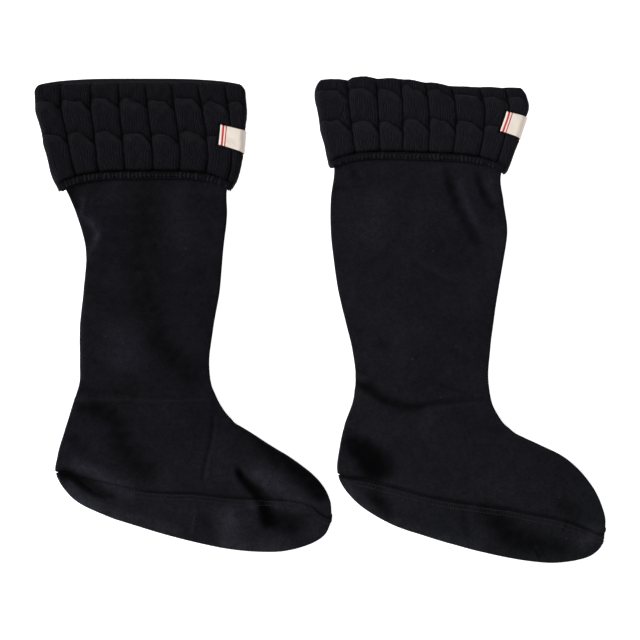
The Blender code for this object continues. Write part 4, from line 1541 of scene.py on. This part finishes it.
def fleece_material(name, colour, cool):
    """Brushed fleece: a fine nap over small tufts, drifting between two close shades, with lint."""
    made, shader, start = new_material(name, 0.95, 0.03, 0.03)
    place = object_coordinates(start)
    nap = place.noise(900.0, 3.0, 0.65)
    tufts = place.noise(260.0, 2.0, 0.6)
    patches = place.noise(38.0, 2.0, 0.5)
    tone = 0.58 * nap + 0.28 * tufts + 0.14 * patches
    drift = place.noise(11.0, 1.0, 0.4)
    foot = place.axis(1).smooth(-0.115, -0.175)
    dye = (0.45 * drift.smooth(0.46, 0.62) + 0.55 * foot).blend(opaque(colour), opaque(cool))
    # Painted shade and highlights, held on the mesh at each point, darken or lighten the uneven tone of the
    # nap.
    shade = (0.5 + 1.0 * tone.smooth(0.3, 0.7)) * (1.0 - 0.9 * attribute(start, "painted_shading"))
    chart = cloth_chart(start)
    spots = {"Vector": chart, "Scale": LINT_SCALE}
    lint = start.node("ShaderNodeTexVoronoi", {"voronoi_dimensions": "2D"}, spots, "Distance")
    speck = (1.0 - lint.smooth(0.7 * LINT_SIZE, 1.2 * LINT_SIZE)) * drift.smooth(0.50, 0.56)
    cloth = speck.blend(dye.scaled(shade), opaque(LINT_COLOUR))
    connect(cloth, shader, "Base Color")
    connect(bump(0.6 * nap + 0.4 * tufts, 0.0005), shader, "Normal")
    connect(0.9 + 0.08 * patches, shader, "Roughness")
    return made


def knit_material(name, colour):
    """Plain stitches in rows and wales, from the cloth's own chart, with purl rungs in the grooves."""
    made, shader, start = new_material(name, 0.9, 0.03, 0.03)
    place = object_coordinates(start)
    chart = cloth_chart(start)
    wale = chart.axis(0)
    course = chart.axis(1)
    off_middle = (wale.math("FRACT") - 0.5).math("ABSOLUTE")
    legs = (off_middle * math.tau).math("SINE")
    slant = ((course + off_middle * 1.1) * math.tau).math("COSINE")
    stitch = legs * (0.82 + 0.18 * slant)
    groove = attribute(start, "groove")
    rungs = 0.5 + 0.5 * (course * math.tau).math("COSINE")
    yarn = stitch * (1.0 - groove) + rungs * groove
    fuzz = place.noise(1100.0, 3.0, 0.7)
    patches = place.noise(110.0, 2.0, 0.6)
    tone = 0.32 * yarn + 0.38 * fuzz + 0.3 * patches
    cloth = tone.smooth(0.2, 0.75).blend(opaque(colour, 0.7), opaque(colour, 1.4))
    # Painted shade and highlights, held on the mesh at each point, darken or lighten the yarn.
    connect(cloth.scaled(1.0 - 0.5 * attribute(start, "painted_shading")), shader, "Base Color")
    connect(bump(yarn + 0.4 * fuzz, 0.0006), shader, "Normal")
    connect(0.86 + 0.1 * fuzz, shader, "Roughness")
    return made


def thread_material(name, colour):
    """Spun thread: fine slanted plies."""
    made, shader, start = new_material(name, 0.8, 0.004, 0.05)
    place = object_coordinates(start)
    plies = ((place.axis(0) + place.axis(1)) * 9000.0).math("SINE")
    fibre = place.noise(1500.0, 2.0, 0.6)
    tone = 0.35 + 0.15 * plies + 0.5 * fibre
    connect(tone.smooth(0.2, 0.9).blend(opaque(colour, 0.7), opaque(colour, 1.3)), shader, "Base Color")
    connect(bump(plies, 0.0001), shader, "Normal")
    connect(0.75 + 0.1 * fibre, shader, "Roughness")
    return made


RIB_PITCH = 0.7  # of the tape's weave, in millimetres
WEFT_PITCH = 0.5
BARS = ((2.0, 3.7), (5.1, 6.2))  # where the two bars lie from the tape's end
BAR_EDGE = 0.1  # half the width over which a bar's edge fades


def tape_material(name, ground, bars):
    """Woven tape: fine ribs both ways, with two plain bars beside each end."""
    made, shader, start = new_material(name, 0.75, 0.0, 0.3)
    chart = cloth_chart(start)
    travel = chart.axis(0)
    fall = chart.axis(1)
    ribs = (travel * (math.tau / RIB_PITCH)).math("SINE")
    weft = (fall * (math.tau / WEFT_PITCH)).math("SINE")
    weave = 0.5 + 0.25 * ribs + 0.25 * weft
    span = 2.0 * label_span()
    from_end = (travel - span / 2.0).math("ABSOLUTE") * -1.0 + span / 2.0
    first, second = (
        from_end.smooth(near - BAR_EDGE, near + BAR_EDGE)
        * (1.0 - from_end.smooth(far - BAR_EDGE, far + BAR_EDGE))
        for near, far in BARS
    )
    stripe = first + second
    cloth = (0.35 + 0.65 * weave).blend(opaque(ground, 0.86), opaque(ground, 1.04))
    colour = stripe.blend(cloth, (0.5 + 0.5 * weave).blend(opaque(bars, 0.8), opaque(bars, 1.05)))
    connect(colour, shader, "Base Color")
    connect(bump(weave, 0.0002), shader, "Normal")
    connect(0.7 + 0.1 * weave, shader, "Roughness")
    return made


STITCH_SIZES = ("Pitch", "Along", "Across", "Height", "Unevenness")


def stitch_tree():
    """Stitches at even steps along a line, lying across or along it, each a little different."""
    tree = bpy.data.node_groups.new("Stitches along a line", "GeometryNodeTree")
    kinds = {"Geometry": "Geometry", **dict.fromkeys(STITCH_SIZES, "Float")}
    kinds.update(Seed="Int", Material="Material")
    for title, kind in kinds.items():
        tree.interface.new_socket(title, in_out="INPUT", socket_type="NodeSocket" + kind)
    tree.interface.new_socket("Geometry", in_out="OUTPUT", socket_type="NodeSocketGeometry")
    start = Signal(tree)
    ins = tree.nodes.new("NodeGroupInput")
    given = {socket.name: Signal(tree, socket) for socket in ins.outputs if socket.name}
    line = start.node("GeometryNodeMeshToCurve", {}, {"Mesh": given["Geometry"]})
    points = start.node(
        "GeometryNodeResampleCurve", {"mode": "LENGTH"}, {"Curve": line, "Length": given["Pitch"]}
    )
    outward = start.node(
        "GeometryNodeInputNamedAttribute", {"data_type": "FLOAT_VECTOR"}, {"Name": "outward"}
    )
    tangent = start.node("GeometryNodeInputTangent")
    turn = start.node(
        "FunctionNodeAxesToRotation", {"primary_axis": "Z", "secondary_axis": "X"},
        {"Primary Axis": outward, "Secondary Axis": tangent},
    )
    size = start.node(
        "FunctionNodeRandomValue", {"data_type": "FLOAT"},
        {2: 1.0 - given["Unevenness"], 3: 1.0 + given["Unevenness"], "Seed": given["Seed"]}, 1,
    )
    tilt = start.node(
        "FunctionNodeRandomValue", {"data_type": "FLOAT"},
        {2: -1.0 * given["Unevenness"], 3: given["Unevenness"], "Seed": given["Seed"] + 7}, 1,
    )
    lean = start.node("FunctionNodeAxisAngleToRotation", {}, {"Axis": (0.0, 0.0, 1.0), "Angle": tilt})
    turn = start.node(
        "FunctionNodeRotateRotation", {"rotation_space": "LOCAL"}, {"Rotation": turn, "Rotate By": lean}
    )
    ball = start.node("GeometryNodeMeshUVSphere", {}, {"Segments": 8, "Rings": 6, "Radius": 0.5})
    form = start.node(
        "ShaderNodeCombineXYZ", {}, {"X": given["Along"], "Y": given["Across"], "Z": given["Height"]}
    )
    stitch = start.node("GeometryNodeTransform", {}, {"Geometry": ball, "Scale": form})
    placed = start.node(
        "GeometryNodeInstanceOnPoints", {},
        {"Points": points, "Instance": stitch, "Rotation": turn, "Scale": size},
    )
    smooth = start.node("GeometryNodeSetShadeSmooth", {}, {"Geometry": placed})
    real = start.node("GeometryNodeRealizeInstances", {}, {"Geometry": smooth})
    done = start.node("GeometryNodeSetMaterial", {}, {"Geometry": real, "Material": given["Material"]})
    outs = tree.nodes.new("NodeGroupOutput")
    tree.links.new(done.socket, outs.inputs["Geometry"])
    return tree


def stitched_mesh(name, lines, finish, pitch, along, across, height, unevenness, seed):
    """The stitches along some lines, each given as points and outward directions."""
    points = []
    outward = []
    edges = []
    for line, normals in lines:
        first = len(points)
        points.extend((np.asarray(line) * MM).tolist())
        outward.extend(np.asarray(normals).tolist())
        edges.extend((first + k, first + k + 1) for k in range(len(line) - 1))
    guide = bpy.data.meshes.new(name)
    guide.from_pydata(points, edges, [])
    flat = np.array(outward, dtype=np.float32).ravel()
    guide.attributes.new("outward", "FLOAT_VECTOR", "POINT").data.foreach_set("vector", flat)
    carrier = new_object(name + "_guide", guide)
    tree = bpy.data.node_groups.get("Stitches along a line") or stitch_tree()
    steps = carrier.modifiers.new("Stitches", "NODES")
    steps.node_group = tree
    values = {
        "Pitch": pitch * MM, "Along": along * MM, "Across": across * MM, "Height": height * MM,
        "Unevenness": unevenness, "Seed": seed, "Material": finish,
    }
    for socket in tree.interface.items_tree:
        if socket.in_out == "INPUT" and socket.name in values:
            steps[socket.identifier] = values[socket.name]
    bpy.context.view_layer.update()
    evaluated = carrier.evaluated_get(bpy.context.evaluated_depsgraph_get())
    mesh = bpy.data.meshes.new_from_object(evaluated)
    mesh.name = name
    carrier.modifiers.remove(steps)
    bpy.data.objects.remove(carrier)
    if not len(mesh.polygons):
        raise RuntimeError(f"no stitches were made for {name}")
    return mesh


def stitched_piece(name, lines, finish, slot, **sizes):
    """Stitches as a piece of their own. Their mesh comes with its finish."""
    return make_piece(name, stitched_mesh(name, lines, finish, **sizes), ())


# --- Operators, one for each group of like pieces ---

def finish_named(name, make, *colours):
    """The material of that name, made the first time it is asked for."""
    return bpy.data.materials.get(name) or make(name, *colours)


def fleece_pieces(context, part):
    """The uppers or the soles, each standing for its solid."""
    settings = context.scene.sock_fleece
    outside = finish_named("brushed_fleece", fleece_material, settings.colour, settings.cool)
    inside = finish_named("fleece_inside_face", fleece_material, settings.inside, settings.inside)
    pieces = []
    for sock in SOCKS:
        name = f"{sock.side}_{part}_cloth"
        shell, painted_shading = fleece_shell(sock, settings, part == "sole")
        piece = make_piece(name, shell.mesh(name, {"painted_shading": painted_shading}), (outside, inside))
        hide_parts(f"{sock.side}_{part}")
        pieces.append(piece)
    return pieces


# A piece's cut in metres: the smallest rectangle round its flat pattern, and its area.
Cut = namedtuple("Cut", "width length area")


class SOCKS_OT_uppers(bpy.types.Operator):
    """Make the fleece legs, which open below the ankle into the tops of the feet"""

    bl_idname = "socks.uppers"
    bl_label = "Uppers"

    def execute(self, context):
        for sock, piece in zip(SOCKS, fleece_pieces(context, "upper")):
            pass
        return {"FINISHED"}


class SOCKS_OT_soles(bpy.types.Operator):
    """Make the fleece panels folded round the heels, the feet's lower edges and the toes"""

    bl_idname = "socks.soles"
    bl_label = "Soles"

    def execute(self, context):
        fleece_pieces(context, "sole")
        return {"FINISHED"}


class SOCKS_OT_cuffs(bpy.types.Operator):
    """Make the cable-knit cuffs, turned down outside the tops of the legs"""

    bl_idname = "socks.cuffs"
    bl_label = "Cuffs"

    def execute(self, context):
        settings = context.scene.sock_knit
        finish = finish_named("cable_yarn", knit_material, settings.colour)
        for sock in SOCKS:
            name = f"{sock.side}_cuff_knit"
            shell, tones = cuff_shell(sock, settings)
            piece = make_piece(name, shell.mesh(name, tones), (finish, finish))
            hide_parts(f"{sock.side}_cuff")
        return {"FINISHED"}


LOOPS_FROM_HEM = 2.2  # the middle of the bound-off loops
LOOP_SINK = 1.0  # how deep they sit in the knit on top
LOOP_SINK_BELOW = 2.1  # and below, where the cuff lies on them
LOOP_SINK_FOLD = 1.3  # how much deeper they sit at the cuff's folded edges
LOOP_LINE_POINTS = 300
LOOP_HIGHLIGHT = 1.5  # painted highlight: the loops take the knit's colour made this much paler, for the light they catch


class SOCKS_OT_bind_off(bpy.types.Operator):
    """Make the loops of the cuffs' bound-off edges"""

    bl_idname = "socks.bind_off"
    bl_label = "Bound-off edges"

    def execute(self, context):
        settings = context.scene.sock_knit
        # The loops' colour is the knit's with a painted highlight.
        colour = tuple(LOOP_HIGHLIGHT * channel for channel in settings.colour)
        finish = finish_named("bind_off_yarn", thread_material, colour)
        for sock in SOCKS:
            place = np.array([knots(sock.cuff_rows)[-1] - LOOPS_FROM_HEM])
            tube = cuff_tube(sock, place, 0.0)
            lines = []
            for side, least_sink in ((1, LOOP_SINK), (-1, LOOP_SINK_BELOW)):
                share = np.linspace(0.0, 1.0, LOOP_LINE_POINTS)[None, :]
                points, normals = tube.place(share, side)
                sink = least_sink + LOOP_SINK_FOLD * (1.0 - plateau(share[0]))[:, None]
                lines.append((points[0] - normals[0] * sink, normals[0]))
            loops = stitched_piece(
                f"{sock.side}_bind_off", lines, finish, "cable_knit", pitch=settings.loop_pitch / MM,
                along=2.5, across=5.2, height=2.0, unevenness=0.42, seed=sock.seed,
            )
        return {"FINISHED"}


class SOCKS_OT_seams(bpy.types.Operator):
    """Make the rows of stitches along the soles' seams"""

    bl_idname = "socks.seams"
    bl_label = "Seam stitches"

    def execute(self, context):
        fleece = context.scene.sock_fleece
        settings = context.scene.sock_stitch
        finish = finish_named("seam_thread", thread_material, settings.colour)
        for sock in SOCKS:
            rows, ladders = seam_guides(sock, fleece)
            straight = stitched_piece(
                f"{sock.side}_seam_rows", rows, finish, "fleece", pitch=settings.pitch / MM,
                along=0.84 * settings.pitch / MM, across=settings.thickness / MM,
                height=0.8 * settings.thickness / MM, unevenness=0.25, seed=sock.seed,
            )
            span = sock.stitch_rows[1] - sock.stitch_rows[0]
            crossing = stitched_piece(
                f"{sock.side}_seam_ladder", ladders, finish, "fleece", pitch=settings.pitch / MM,
                along=0.45 * settings.thickness / MM, across=0.9 * span,
                height=0.3 * settings.thickness / MM, unevenness=0.3, seed=sock.seed + 1,
            )
        return {"FINISHED"}


SEAM_PROUD = 0.12  # how far the seam's stitches stand over the fleece
LEAST_SEAM_HEIGHT = 0.5  # none of them lies nearer the surface than this
SEAM_AT_FOLD = 0.02  # share of the section below which they are left off, under the fold


def seam_guides(sock, fleece):
    """Lines on the sole's face beside its seam: the two rows, and the line between them."""
    places, open_row = fleece_places(sock, fleece.spacing / MM)
    tube, seam = fleece_tube(sock, fleece, places, 0.0)
    share, per_mm = seam_line(tube, seam, open_row)
    wanted = slice(open_row + sock.first_stitch, len(places) - 2)
    first, second = sock.stitch_rows
    rows = []
    ladders = []
    for offset, lines in ((first, rows), (second, rows), ((first + second) / 2, ladders)):
        for side, seam_share in ((1, share), (-1, share + under_offset(seam) * per_mm)):
            at = seam_share - offset * per_mm
            keep = at[wanted, 0] > SEAM_AT_FOLD
            points, normals = tube.place(np.maximum(at, 0.0), side)
            from_seam = np.full_like(at, offset)
            far_from_mouth = np.full_like(at, HIDDEN_BY_CUFF + CUFF_FADE)
            relief, _ = fleece_relief(sock, fleece, points, normals, from_seam, far_from_mouth)
            points = points + normals * (relief + SEAM_PROUD)[..., None]
            points[..., 2] = np.maximum(points[..., 2], LEAST_SEAM_HEIGHT)
            lines.append((points[wanted, 0][keep], normals[wanted, 0][keep]))
    return rows, ladders


LEAST_TACK_HEIGHT = 0.4  # no tack lies nearer the surface than this


class SOCKS_OT_labels(bpy.types.Operator):
    """Make the blank tapes folded round the cuffs' front edges, and the tacks that hold them"""

    bl_idname = "socks.labels"
    bl_label = "Labels"

    def execute(self, context):
        settings = context.scene.sock_label
        finish = finish_named("woven_tape", tape_material, settings.colour, settings.bars)
        thread = finish_named("tack_thread", thread_material, settings.colour)
        for sock in SOCKS:
            name = f"{sock.side}_label_tape"
            mesh, here, normals = label_mesh(sock, name)
            piece = make_piece(name, mesh, (finish,))
            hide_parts(f"{sock.side}_label")
            lines = []
            for row in (1, -2):
                line = here[row] + normals[row] * (CLEAR + TAPE + TAPE_PROUD)
                line[:, 2] = np.maximum(line[:, 2], LEAST_TACK_HEIGHT)
                lines.append((line, normals[row]))
            tacks = stitched_piece(
                f"{sock.side}_label_tacks", lines, thread, "label_tape", pitch=settings.tack_pitch / MM,
                along=1.5, across=0.45, height=0.4, unevenness=0.1, seed=sock.seed + 3,
            )
            2.0 * label_span() * MM
        return {"FINISHED"}


FLOOR_HALF = 4.0  # metres, from its middle to its sides
FLOOR_DROP = 0.0004  # it lies this far below the socks
KEY_FROM = (-1.9, 0.75, 1.1)
KEY_SOFTNESS = 24.0  # degrees that the light spreads over
FILL_FROM = (0.5, -1.8, 1.3)
FILL_SOFTNESS = 60.0
FILL_SHARE = 0.32  # of the key's strength


def floor_material(name, glow):
    """A white sweep that is lit from behind as well, so that it holds almost no shadow."""
    made, shader, start = new_material(name, 0.9, 0.0, 0.2)
    shader.inputs["Emission Color"].default_value = (1.0, 1.0, 1.0, 1.0)
    shader.inputs["Emission Strength"].default_value = glow
    grain = object_coordinates(start).noise(6.0, 2.0, 0.5)
    connect(grain.blend((0.90, 0.90, 0.90, 1.0), (0.93, 0.93, 0.93, 1.0)), shader, "Base Color")
    return made


def far_light(name, place, softness, strength):
    """A light so far off that it is even all over the socks, shining from place to the origin."""
    lamp = bpy.data.lights.new(name, "SUN")
    lamp.angle = math.radians(softness)
    lamp.energy = strength
    holder = new_object(name, lamp)
    holder.location = place
    holder.rotation_euler = (-Vector(place)).to_track_quat("-Z", "Y").to_euler()


class SOCKS_OT_stage(bpy.types.Operator):
    """Make the pale floor, the soft lights and the camera straight above the socks"""

    bl_idname = "socks.stage"
    bl_label = "Floor, lights and camera"

    def execute(self, context):
        settings = context.scene.sock_stage
        scene = context.scene
        mesh = bpy.data.meshes.new("floor")
        sides = ((-1, -1), (1, -1), (1, 1), (-1, 1))
        corners = [(x * FLOOR_HALF, y * FLOOR_HALF, -FLOOR_DROP) for x, y in sides]
        mesh.from_pydata(corners, [], [(0, 1, 2, 3)])
        floor = new_object("floor", mesh)
        mesh.materials.append(floor_material("white_floor", settings.floor_glow))
        far_light("key", KEY_FROM, KEY_SOFTNESS, settings.key_strength)
        far_light("fill", FILL_FROM, FILL_SOFTNESS, FILL_SHARE * settings.key_strength)
        world = bpy.data.worlds.new("even_sky")
        world.use_nodes = True
        sky = world.node_tree.nodes["Background"]
        sky.inputs["Color"].default_value = (1.0, 1.0, 1.0, 1.0)
        sky.inputs["Strength"].default_value = settings.sky
        scene.world = world
        lens = bpy.data.cameras.new("camera")
        lens.sensor_width = 36.0
        lens.lens = lens.sensor_width * settings.camera_height / settings.frame_width
        camera = new_object("camera", lens)
        camera.location = (0.0, 0.0, settings.camera_height)
        scene.camera = camera
        scene.view_settings.view_transform = "Standard"
        return {"FINISHED"}


class SOCKS_PT_panel(bpy.types.Panel):
    """Lists the pieces in the order in which they are made"""

    bl_label = "Long boot socks"
    bl_idname = "SOCKS_PT_panel"
    bl_space_type = "VIEW_3D"
    bl_region_type = "UI"
    bl_category = "Socks"

    def draw(self, context):
        for operator in OPERATORS:
            self.layout.operator(operator.bl_idname)
        for name in SETTINGS:
            group = getattr(context.scene, name)
            box = self.layout.box()
            for field in group.__annotations__:
                box.prop(group, field)


OPERATORS = (
    SOCKS_OT_uppers, SOCKS_OT_soles, SOCKS_OT_cuffs, SOCKS_OT_bind_off, SOCKS_OT_seams, SOCKS_OT_labels,
    SOCKS_OT_stage,
)
SETTINGS = {
    "sock_fleece": FleeceSettings,
    "sock_knit": KnitSettings,
    "sock_stitch": StitchSettings,
    "sock_label": LabelSettings,
    "sock_stage": StageSettings,
}


def register():
    for kind in (*SETTINGS.values(), *OPERATORS, SOCKS_PT_panel):
        bpy.utils.register_class(kind)
    for name, group in SETTINGS.items():
        setattr(bpy.types.Scene, name, PointerProperty(type=group))


def unregister():
    for name in SETTINGS:
        delattr(bpy.types.Scene, name)
    for kind in (SOCKS_PT_panel, *reversed(OPERATORS), *reversed(tuple(SETTINGS.values()))):
        bpy.utils.unregister_class(kind)


def main():
    register()
    bpy.ops.socks.uppers()
    bpy.ops.socks.soles()
    bpy.ops.socks.cuffs()
    bpy.ops.socks.bind_off()
    bpy.ops.socks.seams()
    bpy.ops.socks.labels()
    bpy.ops.socks.stage()


if __name__ == "__main__":
    main()
